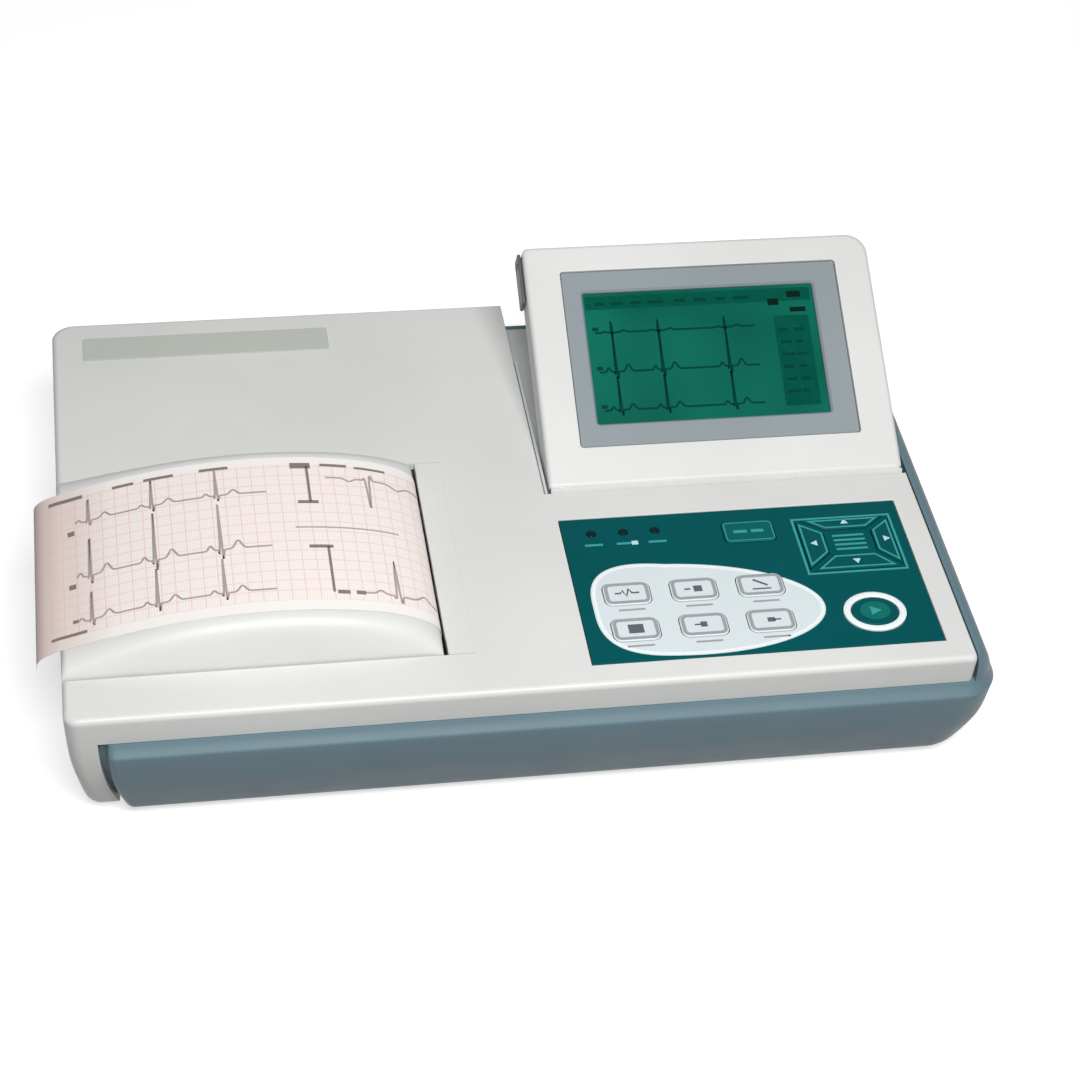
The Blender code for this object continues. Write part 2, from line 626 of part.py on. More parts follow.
def door_grid(rise):
    """The domed surface as rows of points: the vault's height rolls off in a quarter ellipse at both ends."""
    y0 = DOOR_Y0 - rise
    y1 = DOOR_Y1 + rise
    roll = DOOR_END_ROLL
    stations = [(y0, 0.0)]
    for degrees in (12, 26, 42, 60, 90):
        angle = math.radians(degrees)
        stations.append((y0 + roll * (1 - math.cos(angle)), math.sin(angle)))
    stations += [(y1 + y0 - y, share) for y, share in reversed(stations)]
    base = -0.6
    rows = []
    for y, share in stations:
        row = []
        for x, z in vault_profile(rise):
            level = z if z < base else base + (z - base) * max(share, 0.02)
            row.append((x, y, level))
        rows.append(row)
    skirt_front = [(x, y, min(z, -2.8)) for x, y, z in rows[0]]
    skirt_rear = [(x, y, min(z, -2.8)) for x, y, z in rows[-1]]
    return [skirt_front] + rows + [skirt_rear]


def door_skin():
    """A closed shell between the outer dome and one a skin's thickness inside it."""
    bm = bmesh.new()
    layers = []
    for rise in (0.0, -DOOR_SKIN):
        layers.append([[bm.verts.new(p) for p in row] for row in door_grid(rise)])
    outer, inner = layers
    rows = len(outer)
    columns = len(outer[0])
    for a in range(rows - 1):
        for b in range(columns - 1):
            bm.faces.new((outer[a][b], outer[a][b + 1], outer[a + 1][b + 1], outer[a + 1][b]))
            bm.faces.new((inner[a + 1][b], inner[a + 1][b + 1], inner[a][b + 1], inner[a][b]))
    edge = [(0, b) for b in range(columns)] + [(a, columns - 1) for a in range(1, rows)]
    edge += [(rows - 1, b) for b in range(columns - 2, -1, -1)] + [(a, 0) for a in range(rows - 2, 0, -1)]
    for (a, b), (c, d) in zip(edge, edge[1:] + edge[:1]):
        bm.faces.new((outer[c][d], outer[a][b], inner[a][b], inner[c][d]))
    bmesh.ops.remove_doubles(bm, verts=bm.verts, dist=0.001)
    return bm


def paper_door():
    barrel = rod("Y", DOOR_PIN, 2.6, DOOR_Y0 + 1.2, DOOR_Y1 - 1.2, 16)
    rib = [(121.0, -11.5), (131.0, -11.5), (131.0, 1.0), (121.0, 7.2)]
    adds = [barrel, prism(rib, "Y", 24.8, 27.3), prism(rib, "Y", 112.2, 114.9)]
    cuts = [
        rod("Y", DOOR_PIN, 1.5, 0, 200),
        rod("Y", (PLATEN_X, PLATEN_Z), 1.8, 22, 116),
    ]
    part("paper_door", "white_plastic", door_skin(), adds, cuts, pivot=(DOOR_PIN[0], Y_MID, DOOR_PIN[1]))
    pin = rod("Y", DOOR_PIN, 1.2, DOOR_Y0 - 3.8, DOOR_Y1 + 3.8, 16)
    part("door_hinge_pin", "steel", pin, smooth=True)


def ribbon(path, thickness):
    """A sheet of even thickness, PAPER_W wide, along a path of (x, z) points."""
    other_side = []
    for i, here in enumerate(path):
        before = Vector(path[max(i - 1, 0)])
        after = Vector(path[min(i + 1, len(path) - 1)])
        along = (after - before).normalized()
        other_side.append((here[0] - along.y * thickness, here[1] + along.x * thickness))
    return prism(path + other_side[::-1], "Y", PAPER_Y0, PAPER_Y1)


def paper():
    over_door = [p for p in vault_profile(GAP) if p[1] > -0.5]
    overhang = [(-PAPER_OVERHANG + PAPER_THICK, -4.0), (-7.2, -0.6), (-5.2, 1.6), (-2.4, 3.0)]
    path = overhang + over_door[2:] + [(DOOR_X1 + GAP, -6.5)]
    part("paper_strip", "paper", ribbon(path, PAPER_THICK), pivot=(DOOR_PIN[0], Y_MID, DOOR_PIN[1]))

    web = arc(ROLL_X, ROLL_Z, ROLL_R + GAP, ROLL_R + GAP, 96, 78, 3)
    web += [(118.0, -14.75), (127.0, -14.75)]
    part("paper_web", "paper", ribbon(web, PAPER_THICK))

    spindle_axis = (ROLL_X, ROLL_Z)
    pivot = (ROLL_X, Y_MID, ROLL_Z)
    roll = tube("Y", spindle_axis, ROLL_R, 6.0, PAPER_Y0, PAPER_Y1, 32)
    part("paper_roll", "paper", roll, pivot=pivot, smooth=True)
    part("roll_spindle", "grey_plastic", rod("Y", spindle_axis, 4.3, 25.6, 114.2),
         [rod("Y", spindle_axis, 5.7, PAPER_Y0, PAPER_Y1)], pivot=pivot, smooth=True)


def paper_tub():
    outer = box(22, 108, 27, 113, -48.2, -3.6)
    slot = [(ROLL_X - 4.8, -3.0), (ROLL_X - 4.8, ROLL_Z)]
    slot += arc(ROLL_X, ROLL_Z, 4.8, 4.8, 180, 360, 8) + [(ROLL_X + 4.8, -3.0)]
    cuts = [
        box(23.5, 106.5, 28.5, 111.5, -46.7, 10),
        box(100, 112, 28.5, 111.5, -17.0, 10),
        prism(slot, "Y", 20, 120),
    ]
    part("paper_tub", "grey_plastic", outer, cut=cuts)


# ---------------------------------------------------------------- print drive
def printer():
    platen_axis = (PLATEN_X, PLATEN_Z)
    platen_pivot = (PLATEN_X, Y_MID, PLATEN_Z)
    roller = tube("Y", platen_axis, PLATEN_R, 1.8, PAPER_Y0 - 1.9, PAPER_Y1 + 1.9)
    part("platen_roller", "rubber", roller, pivot=platen_pivot, smooth=True)
    shaft = rod("Y", platen_axis, 1.5, 23.4, GEAR_Y1 + 0.3, 16)
    part("platen_shaft", "steel", shaft, pivot=platen_pivot, smooth=True)

    idler_drop = GEAR_MODULE * (PLATEN_TEETH + IDLER_TEETH) / 2
    idler_axis = (PLATEN_X, PLATEN_Z - idler_drop)
    pinion_reach = GEAR_MODULE * (IDLER_TEETH + PINION_TEETH) / 2
    pinion_axis = (PLATEN_X - pinion_reach, idler_axis[1])
    gears = (  # name, axis, teeth, direction of one tooth, bore
        ("platen_gear", platen_axis, PLATEN_TEETH, 90, 1.8),
        ("idler_gear", idler_axis, IDLER_TEETH, 90, 2.0),
    )
    for name, axis, teeth, first_tooth, bore in gears:
        body = prism(gear_outline(axis, teeth, first_tooth), "Y", GEAR_Y0, GEAR_Y1)
        part(name, "gear_white", body, cut=[rod("Y", axis, bore, 100, 130, 12)],
             pivot=(axis[0], Y_MID, axis[1]))
    pinion = prism(gear_outline(pinion_axis, PINION_TEETH, 0), "Y", GEAR_Y0 - 0.4, GEAR_Y1 + 0.4)
    part("motor_pinion", "steel", pinion, [rod("Y", pinion_axis, 1.5, GEAR_Y1 - 1, 130, 12)],
         pivot=(pinion_axis[0], Y_MID, pinion_axis[1]))

    motor = rod("Y", pinion_axis, 17.5, 124.0, 146.0, 28)
    flange = box(pinion_axis[0] - 21, pinion_axis[0] + 21, 124.0, 125.2, idler_axis[1] - 6, idler_axis[1] + 6)
    part("stepper_motor", "steel", motor, [flange], [rod("Y", pinion_axis, 1.9, 120, 131, 12)])

    rear_plate = box(88, 146, 122.2, 123.7, -46, -4.5)
    chassis_adds = [
        box(112, 146, 17.6, 123.7, -46, -44.5),
        box(112, 146, 17.6, 19.1, -46, -6.0),
        rod("Y", idler_axis, 1.7, 115.2, 123, 12),
    ]
    chassis_cuts = [rod("Y", pinion_axis, 4.0, 121, 125, 12)]
    part("printer_chassis", "aluminium", rear_plate, chassis_adds, chassis_cuts)

    head = box(117, 134, PAPER_Y0 - 2, PAPER_Y1 + 2, -17.4, -15.1)
    part("print_head", "aluminium", head)
    bracket = box(115, 138, PAPER_Y0 - 4, PAPER_Y1 + 3, -19.6, -17.7)
    leg = box(136.4, 138, PAPER_Y0 - 4, PAPER_Y1 + 3, -44.2, -18)
    part("head_bracket", "steel", bracket, [leg])
    arch = arc(126, -44.0, 10, 23.9, 180, 0, 8)
    inner_arch = arc(126, -44.0, 9.4, 23.3, 0, 180, 8)
    part("head_spring", "steel", prism(arch[::-1] + inner_arch[::-1], "Y", 64, 76))

    tear = [(SLOT_X1, -3.6), (TEAR_BAR_X1, -3.6), (TEAR_BAR_X1, 0.0), (SLOT_X1 + 0.5, 0.3), (SLOT_X1, 0.0)]
    part("tear_bar", "white_plastic", prism(tear, "Y", DOOR_Y0 - 0.5, DOOR_Y1 + 0.5))


# ---------------------------------------------------------------- boards and sockets
def boards():
    main = box(150, 300, 22, 108, -38, -36.4)
    chips = [box(x, x + w, y, y + d, -37, -33) for x, y, w, d in
             ((165, 35, 26, 26), (205, 30, 18, 12), (205, 55, 14, 20), (240, 40, 20, 20), (175, 80, 40, 9))]
    part("main_board", "circuit_green", main, chips)
    power = box(34, 112, 152, 202, -46, -44.4)
    tall = [box(44, 74, 158, 190, -45, -20), rod("Z", (92, 168), 7.5, -45, -24, 16),
            rod("Z", (92, 188), 6.0, -45, -28, 16)]
    part("power_board", "circuit_green", power, tall)


def d_shape(cx, cz, half_w, half_h, taper):
    """The outline of a D connector, wider along its top edge."""
    return [(cx - half_w + taper, cz - half_h), (cx + half_w - taper, cz - half_h),
            (cx + half_w, cz + half_h), (cx - half_w, cz + half_h)]


def socket(name, axis, centre, half_w, face, depth, colour="steel"):
    """A D connector: a flange with a deeper block behind it and an open mouth, facing along +axis."""
    half_h = 5.2
    flange_outline = d_shape(*centre, half_w + 6.0, half_h + 1.0, 0.0)
    flange = prism(flange_outline, axis, face, face + 1.2)
    barrel = prism(d_shape(*centre, half_w, half_h - 0.6, 1.4), axis, face - depth, face + 5.0)
    mouth = prism(d_shape(*centre, half_w - 0.8, half_h - 1.4, 1.4), axis, face - 0.5, face + 9.0)
    part(name, colour, flange, [barrel], [mouth])


def rear_panel():
    x0, x1, z0, z1 = REAR_PANEL
    y0 = 212.0
    y1 = 214.0
    mid_z = (z0 + z1) / 2
    inlet_x = 134.0
    rocker_x = 106.0
    fuse_x = 87.0
    earth_x = 71.0
    data_x = 46.0
    cuts = [
        box(inlet_x - 14, inlet_x + 14, y0 - 5, y1 + 5, mid_z - 10.5, mid_z + 10.5),
        box(rocker_x - 9.7, rocker_x + 9.7, y0 - 5, y1 + 5, mid_z - 6.6, mid_z + 6.6),
        rod("Y", (fuse_x, mid_z), 6.3, y0 - 5, y1 + 5),
        rod("Y", (earth_x, mid_z), 2.3, y0 - 5, y1 + 5, 12),
        prism(d_shape(data_x, mid_z, 9.2, 5.2, 1.4), "Y", y0 - 5, y1 + 5),
    ]
    part("rear_panel", "dark_plastic", box(x0, x1, y0, y1, z0, z1), cut=cuts)

    inlet = box(inlet_x - 13.6, inlet_x + 13.6, y0 - 14, y1 + 1.0, mid_z - 10.1, mid_z + 10.1)
    rim = box(inlet_x - 15.6, inlet_x + 15.6, y1 + GAP, y1 + 2.2, mid_z - 12.0, mid_z + 12.0)
    mouth = box(inlet_x - 12.0, inlet_x + 12.0, y0 - 12, y1 + 5, mid_z - 8.2, mid_z + 8.2)
    pins = [box(inlet_x + dx - 1.0, inlet_x + dx + 1.0, y0 - 13, y1 - 4, mid_z + dz - 2, mid_z + dz + 2)
            for dx, dz in ((-7.0, -1.5), (0.0, 2.5), (7.0, -1.5))]
    part("mains_inlet", "dark_plastic", inlet, [rim], [mouth], join=pins)

    rocker_outline = [(rocker_x + across, y1 + out) for across, out in
                      ((-8.6, -4.5), (8.6, -4.5), (8.6, -0.1), (0.0, 0.7), (-8.6, 3.7))]
    part("power_rocker", "rubber", prism(rocker_outline, "Z", mid_z - 6.0, mid_z + 6.0),
         pivot=(rocker_x, y0, mid_z))

    fuse = rod("Y", (fuse_x, mid_z), 5.9, y0 - 16, y1 + 0.5)
    cap = rod("Y", (fuse_x, mid_z), 7.0, y1 + GAP, y1 + 3.6)
    slot_cut = box(fuse_x - 5, fuse_x + 5, y1 + 2.6, y1 + 6, mid_z - 0.8, mid_z + 0.8)
    part("fuse_holder", "dark_plastic", fuse, [cap], [slot_cut])

    stud = rod("Y", (earth_x, mid_z), 2.0, y0 - 6, y1 + 6.0, 16)
    nut = prism(ellipse(earth_x, mid_z, 4.6, 4.6, 6), "Y", y1 + GAP, y1 + 2.6)
    part("earth_post", "steel", stud, [nut])

    socket("data_socket", "Y", (data_x, mid_z), 8.8, y1 + GAP, 8.0)

    sy0, sy1, sz0, sz1 = SIDE_PANEL
    plate = box(326.0, 328.0, sy0, sy1, sz0, sz1)
    centre = ((sy0 + sy1) / 2, (sz0 + sz1) / 2)
    barrel = prism(d_shape(*centre, 20.0, 7.0, 2.0), "X", 317.5, 333.5)
    mouth = prism(d_shape(*centre, 18.8, 5.8, 2.0), "X", 324.5, 340.5)
    part("patient_socket", "grey_plastic", plate, [barrel], [mouth])


def nameplate():
    outline = rounded_rect(12.5, 109.0, 192.5, 206.0, 1.0, 2)
    part("nameplate", "label_grey", prism(outline, "Z", 0.1, 0.5))


def clear_scene():
    for found in list(bpy.data.objects):
        bpy.data.objects.remove(found)


def main():
    clear_scene()
    top_cover()
    bottom_cover()
    feet()
    battery()
    display_tray()
    display()
    keypad()
    paper_door()
    paper()
    paper_tub()
    printer()
    boards()
    rear_panel()
    nameplate()


main()
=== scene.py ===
"""Looks for a three-channel ECG recorder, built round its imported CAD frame.

Lengths are in millimetres on the deck's own axes: x from its left edge, y from its front edge and z from
its top face. at() turns them into the frame's metres. The display is modelled lying flat, then tilted.
"""

import bisect
import json
import math

import bmesh
import bpy
from mathutils import Matrix, Vector


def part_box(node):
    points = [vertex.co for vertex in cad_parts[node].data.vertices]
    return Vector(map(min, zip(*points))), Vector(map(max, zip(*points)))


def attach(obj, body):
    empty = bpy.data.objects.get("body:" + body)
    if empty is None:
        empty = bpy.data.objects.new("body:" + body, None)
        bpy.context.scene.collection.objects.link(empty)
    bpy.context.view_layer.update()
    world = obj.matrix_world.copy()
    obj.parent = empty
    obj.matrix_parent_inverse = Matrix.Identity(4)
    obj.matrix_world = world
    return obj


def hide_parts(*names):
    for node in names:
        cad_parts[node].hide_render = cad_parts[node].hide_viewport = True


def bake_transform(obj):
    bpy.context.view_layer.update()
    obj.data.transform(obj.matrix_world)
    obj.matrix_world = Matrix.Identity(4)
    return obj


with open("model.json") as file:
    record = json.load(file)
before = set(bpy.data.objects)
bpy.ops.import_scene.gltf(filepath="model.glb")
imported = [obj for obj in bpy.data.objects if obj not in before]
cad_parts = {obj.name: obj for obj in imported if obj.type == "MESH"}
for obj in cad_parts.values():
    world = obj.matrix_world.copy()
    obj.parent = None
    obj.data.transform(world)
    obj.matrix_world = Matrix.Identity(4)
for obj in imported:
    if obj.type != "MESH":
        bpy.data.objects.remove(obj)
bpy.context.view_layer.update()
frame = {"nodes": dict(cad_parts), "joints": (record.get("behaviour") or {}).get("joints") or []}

MM = 0.001
COVER_LOW, COVER_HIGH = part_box("top_cover")
ORIGIN = Vector((COVER_LOW.x - 0.5 * MM, COVER_LOW.y, COVER_HIGH.z))
JOINTS = {joint["name"]: joint for joint in frame["joints"]}

# ---------------- the CAD part's driving dimensions, in millimetres
DECK_W = 323.0
DECK_D = 216.4
DECK_THICK = 3.0
RIM_Z = -12.0
FLOOR_Z = -52.0
TABLE_Z = -56.0
WALL = 2.5
GAP = 0.3
HOOP_W = 11.5
HOOP_LEAN = 6.0
GROOVE_W = 3.1
FRONT_BULGE = 4.0
LEFT_CORNER_R = (5.0, 8.0)

PAPER_Y0 = 29.9
PAPER_Y1 = 109.9
PAPER_THICK = 0.12
DOOR_Y0 = 20.4
DOOR_Y1 = 120.5
DOOR_X0 = 0.6
DOOR_X1 = 132.7
DOOR_CROWN_X = 75.0
DOOR_CROWN_Z = 16.8
DOOR_ARC_R = 215.0
DOOR_END_ROLL = 9.4
DOOR_SKIN = 1.8
DOOR_PIN = (4.0, -5.0)
SLOT_X1 = 135.4
TEAR_BAR_X1 = 143.5
PLATEN = (126.5, -8.0)
PLATEN_R = 6.0
ROLL = (62.0, -24.0)
ROLL_R = 21.0

RECESS_X0 = 181.2
RECESS_Y0 = 100.2
RECESS_FLOOR_Z = -11.5
DISPLAY_X0 = 183.3
DISPLAY_X1 = 321.3
DISPLAY_H = 100.0
DISPLAY_T = 13.6
DISPLAY_TILT = -JOINTS["display_tilt"]["range_deg"][0]
HINGE_Y = 106.6
HINGE_Z = -2.1
FLAT_Y = HINGE_Y - 3.0
FLAT_Z = HINGE_Z + 5.0
LUG_XS = (200.0, 304.6)
WINDOW = (197.1, 307.2, 15.8, 89.0)
SCREEN = (205.0, 297.0, 25.3, 80.1)
CATCH_V = (78.0, 99.0)

KEYPAD = (184.0, 312.9, 10.1, 84.9)
KEY_TOP = 0.5
KEY_W = 17.2
KEY_D = 11.3
KEY_COLUMNS = (202.4, 227.2, 252.0)
KEY_ROWS = (43.9, 25.7)
MODE_KEY = (244.2, 263.6, 66.9, 77.8)
ARROW_PAD = (271.6, 308.8, 48.2, 77.2)
ARROW_CORE = (282.6, 299.1, 57.8, 69.7)
START = (290.9, 26.7)
START_RADII = (11.6, 9.9)
RING_W = 2.6
LIGHT_XS = (194.9, 206.9, 218.9)
LIGHT_Y = 76.6
LIGHT_LABEL_Y = 70.5
FILM_Z = -0.1
INK = 0.05
CLEAR = 0.01
LCD_DOT_PITCH = 0.36 * MM
LCD_DOT_GAP = 0.04 * MM

REAR_PANEL = (28.0, 152.0, -44.0, -15.0)
REAR_Y = 214.0
REAR_Z = -29.5
SIDE_PANEL = (44.0, 96.0, -38.0, -17.0)
BATTERY_BAY = (150.0, 232.0, 122.0, 192.0)
FOOT_SPOTS = ((34.0, 28.0), (290.0, 28.0), (34.0, 188.4), (290.0, 188.4))
SCREW_SPOTS = ((60.0, 17.0), (250.0, 17.0), (60.0, 199.4), (250.0, 199.4))


def at(x, y, z):
    """A deck position in millimetres as a point of the frame, in metres."""
    return ORIGIN + Vector((x, y, z)) * MM


# ---------------- outlines, in millimetres
def arc(cx, cy, rx, ry, start_deg, end_deg, steps):
    turns = [math.radians(start_deg + (end_deg - start_deg) * i / steps) for i in range(steps + 1)]
    return [(cx + rx * math.cos(t), cy + ry * math.sin(t)) for t in turns]


def ellipse(cx, cy, rx, ry, steps=64):
    return arc(cx, cy, rx, ry, 0, 360 - 360 / steps, steps - 1)


def rounded_rect(x0, x1, y0, y1, radii, steps=8):
    """Corner radii in the order front left, front right, rear right and rear left."""
    if not isinstance(radii, tuple):
        radii = (radii,) * 4
    outline = []
    for corner, r in enumerate(radii):
        centre_x = x0 + r if corner in (0, 3) else x1 - r
        centre_y = y0 + r if corner in (0, 1) else y1 - r
        turn = (180, 270, 0, 90)[corner]
        outline += arc(centre_x, centre_y, r, r, turn, turn + 90, steps)
    return outline


def centred_rect(centre, half_w, half_h, radii=0.5, steps=4):
    x, y = centre
    return rounded_rect(x - half_w, x + half_w, y - half_h, y + half_h, radii, steps)


def grow(outline, distance):
    """A counter-clockwise outline with each side moved outwards."""
    count = len(outline)
    grown = []
    for i in range(count):
        before, here, after = (Vector(outline[j % count]) for j in (i - 1, i, i + 1))
        first = (here - before).normalized()
        second = (after - here).normalized()
        normal_1 = Vector((first.y, -first.x))
        normal_2 = Vector((second.y, -second.x))
        mitre = (normal_1 + normal_2) / (1 + normal_1.dot(normal_2))
        grown.append(tuple(here + mitre * distance))
    return grown


def soft_rows(rows, per_span=5):
    """Rows of numbers with more rows between them, on a Catmull-Rom curve."""
    fine = []
    last = len(rows) - 1
    for i in range(last):
        p0, p1, p2, p3 = (rows[min(max(k, 0), last)] for k in (i - 1, i, i + 1, i + 2))
        for step in range(per_span):
            t = step / per_span
            fine.append(tuple(
                0.5 * (2 * b + (c - a) * t + (2 * a - 5 * b + 4 * c - d) * t * t
                       + (3 * b - a - 3 * c + d) * t ** 3)
                for a, b, c, d in zip(p0, p1, p2, p3)))
    return fine + [rows[-1]]


# ---------------- solids, as bmeshes in deck millimetres
def loft(sections):
    """A closed body through outlines of equal length, each given as (z, outline)."""
    bm = bmesh.new()
    rings = [[bm.verts.new((x, y, z)) for x, y in outline] for z, outline in sections]
    count = len(rings[0])
    for low, high in zip(rings, rings[1:]):
        for i in range(count):
            j = (i + 1) % count
            bm.faces.new((low[i], low[j], high[j], high[i]))
    bm.faces.new(rings[0][::-1])
    bm.faces.new(rings[-1])
    return bm


SPINS = {
    "X": Matrix(((0, 0, 1, 0), (1, 0, 0, 0), (0, 1, 0, 0), (0, 0, 0, 1))),
    "Y": Matrix(((1, 0, 0, 0), (0, 0, 1, 0), (0, 1, 0, 0), (0, 0, 0, 1))),
    "Z": Matrix.Identity(4),
}


def turned(bm, axis):
    bmesh.ops.transform(bm, matrix=SPINS[axis], verts=bm.verts)
    return bm


def prism(outline, axis, start, end, soft=0.0):
    """An outline pushed along an axis, its end edges rounded by soft. It's (y, z) on "X", (x, z) on "Y"."""
    low = [(start, outline)]
    if soft:
        turns = [math.radians(degrees) for degrees in (0, 22, 45, 68, 90)]
        low = [(start + soft * (1 - math.cos(t)), grow(outline, -soft * (1 - math.sin(t)))) for t in turns]
    high = [(end - (z - start), ring) for z, ring in reversed(low)]
    return turned(loft(low + high), axis)


def box(x0, x1, y0, y1, z0, z1):
    return prism([(x0, y0), (x1, y0), (x1, y1), (x0, y1)], "Z", z0, z1)


def rod(axis, centre, radius, start, end, steps=48):
    return prism(ellipse(*centre, radius, radius, steps), axis, start, end)


def add_ring(bm, outer, inner, start, end):
    """Adds an upright prism with an opening of the same number of points to bm."""
    outer_low, outer_high, inner_low, inner_high = (
        [bm.verts.new((a, b, level)) for a, b in outline]
        for outline in (outer, inner) for level in (start, end))
    for i in range(len(outer)):
        j = (i + 1) % len(outer)
        bm.faces.new((outer_low[i], outer_low[j], outer_high[j], outer_high[i]))
        bm.faces.new((inner_low[j], inner_low[i], inner_high[i], inner_high[j]))
        bm.faces.new((outer_high[i], outer_high[j], inner_high[j], inner_high[i]))
        bm.faces.new((outer_low[j], outer_low[i], inner_low[i], inner_low[j]))


def ring_prism(outer, inner, axis, start, end):
    bm = bmesh.new()
    add_ring(bm, outer, inner, start, end)
    return turned(bm, axis)


def stroke(bm, points, width, lift_to):
    """Adds a printed line of even width to bm as a closed strip. lift_to(x, y, up) places its corners."""
    rings = []
    for i, here in enumerate(points):
        along = (Vector(points[min(i + 1, len(points) - 1)]) - Vector(points[max(i - 1, 0)])).normalized()
        across = Vector((-along.y, along.x)) * width / 2
        right, left = Vector(here) - across, Vector(here) + across
        rings.append([bm.verts.new(lift_to(p.x, p.y, up)) for p, up in
                      ((right, 0.0), (left, 0.0), (left, INK), (right, INK))])
    for one, two in zip(rings, rings[1:]):
        for i in range(4):
            j = (i + 1) % 4
            bm.faces.new((one[i], one[j], two[j], two[i]))
    bm.faces.new(rings[0][::-1])
    bm.faces.new(rings[-1])


def flat_print(strokes, z, closed=()):
    """Ink just over a flat face at height z. strokes are (points, width), and closed are loops drawn just
    inside convex outlines, as (outline, width)."""
    bm = bmesh.new()
    low = z + CLEAR
    for points, width in strokes:
        stroke(bm, points, width, lambda x, y, up: (x, y, low + up))
    for outline, width in closed:
        add_ring(bm, outline, grow(outline, -width), low, low + INK)
    return bm


def ink_spot(outline, z):
    """A filled printed shape just over a flat face at height z."""
    return prism(outline, "Z", z + CLEAR, z + CLEAR + INK)


def bar(x, y, length):
    """The ends of a level printed bar."""
    return [(x, y), (x + length, y)]


# ---------------- materials
def tint(red, green, blue):
    """An sRGB colour, 0 to 255, as the linear colour a shader takes."""
    linear = [c / 255 / 12.92 if c <= 10 else ((c / 255 + 0.055) / 1.055) ** 2.4 for c in (red, green, blue)]
    return (*linear, 1.0)


def shade(colour, factor):
    return (*(channel * factor for channel in colour[:3]), 1.0)


class Finish:
    """A Principled material, and the nodes that feed it."""

    def __init__(self, name, colour, roughness, **sockets):
        self.material = bpy.data.materials.new(name)
        self.material.use_nodes = True
        self.tree = self.material.node_tree
        self.shader = self.tree.nodes["Principled BSDF"]
        self.set(Base_Color=colour, Roughness=roughness, **sockets)

    def put(self, target, socket, value):
        if isinstance(value, bpy.types.NodeSocket):
            self.tree.links.new(value, target.inputs[socket])
        else:
            target.inputs[socket].default_value = value

    def set(self, **sockets):
        """Sets or links sockets of the shader, whose names have a _ for each space."""
        for socket, value in sockets.items():
            self.put(self.shader, socket.replace("_", " "), value)

    def node(self, kind, inputs, **settings):
        """The outputs of a new node."""
        made = self.tree.nodes.new("ShaderNode" + kind)
        for key, value in settings.items():
            setattr(made, key, value)
        for socket, value in inputs.items():
            self.put(made, socket, value)
        return made.outputs

    def place(self):
        return self.node("TexCoord", {})["Object"]

    def split(self, vector):
        return self.node("SeparateXYZ", {"Vector": vector})

    def math(self, operation, first, second=0.0):
        return self.node("Math", {0: first, 1: second}, operation=operation)[0]

    def noise(self, where, scale, detail=2.0, rough=0.5):
        inputs = {"Vector": where, "Scale": scale, "Detail": detail, "Roughness": rough}
        return self.node("TexNoise", inputs)["Fac"]

    def ramp(self, value, low, high, to_low=0.0, to_high=1.0):
        limits = {"From Min": low, "From Max": high, "To Min": to_low, "To Max": to_high}
        return self.node("MapRange", {"Value": value, **limits})["Result"]

    def mix(self, share, first, second):
        return self.node("Mix", {0: share, 6: first, 7: second}, data_type="RGBA")[2]

    def lines(self, value, pitch, width, soft):
        """1 on lines of a width that repeat every pitch, fading to 0 over soft."""
        away = self.math("PINGPONG", value, pitch / 2)
        return self.ramp(away, width / 2, width / 2 + soft, 1.0, 0.0)

    def grid(self, along, across, pitch, width, soft):
        return self.math("MAXIMUM", *(self.lines(value, pitch, width, soft) for value in (along, across)))

    def bump(self, height, strength, depth_mm=0.03):
        inputs = {"Height": height, "Strength": strength, "Distance": depth_mm * MM}
        self.set(Normal=self.node("Bump", inputs)["Normal"])


def moulded(name, colour, roughness, grain=0.25, drift=0.05, cell=1500.0, **sockets):
    """Moulded plastic: a spark-eroded grain, a slight drift of colour, and hands' uneven polish."""
    colour = tint(*colour)
    made = Finish(name, colour, roughness, **sockets)
    where = made.place()
    cloud = made.ramp(made.noise(where, 14.0, 3.0), 0.3, 0.7)
    worn = made.noise(where, 42.0, 4.0, 0.65)
    made.set(Base_Color=made.mix(cloud, shade(colour, 1 - drift), shade(colour, 1 + drift / 2)),
             Roughness=made.ramp(worn, 0.25, 0.75, roughness - 0.05, roughness + 0.07))
    made.bump(made.noise(where, cell, 3.0, 0.6), grain)
    return made.material


def printed(name, colour, roughness=0.5, drift=0.08, **sockets):
    """Screen-printed ink, a little uneven."""
    colour = tint(*colour)
    made = Finish(name, colour, roughness, **sockets)
    share = made.noise(made.place(), 900.0)
    made.set(Base_Color=made.mix(share, shade(colour, 1 - drift), shade(colour, 1 + drift)))
    return made.material


def metal(name, colour, roughness, stretch=(1.0, 40.0, 40.0)):
    """Turned or rolled metal with fine lines along one direction."""
    colour = tint(*colour)
    made = Finish(name, colour, roughness, Metallic=1.0)
    where = made.node("Mapping", {"Vector": made.place(), "Scale": stretch})["Vector"]
    fine = made.noise(where, 60.0, 4.0, 0.7)
    made.set(Roughness=made.ramp(fine, 0.2, 0.8, roughness - 0.08, roughness + 0.12))
    made.bump(fine, 0.12, 0.02)
    return made.material


def rubbery(name, colour, roughness=0.7):
    """Black rubber with a little dust on it."""
    colour = tint(*colour)
    made = Finish(name, colour, roughness)
    where = made.place()
    dust = made.ramp(made.noise(where, 120.0, 5.0, 0.7), 0.45, 0.75)
    made.set(Base_Color=made.mix(dust, colour, shade(colour, 1.8)))
    made.bump(made.noise(where, 2500.0, 3.0), 0.35)
    return made.material


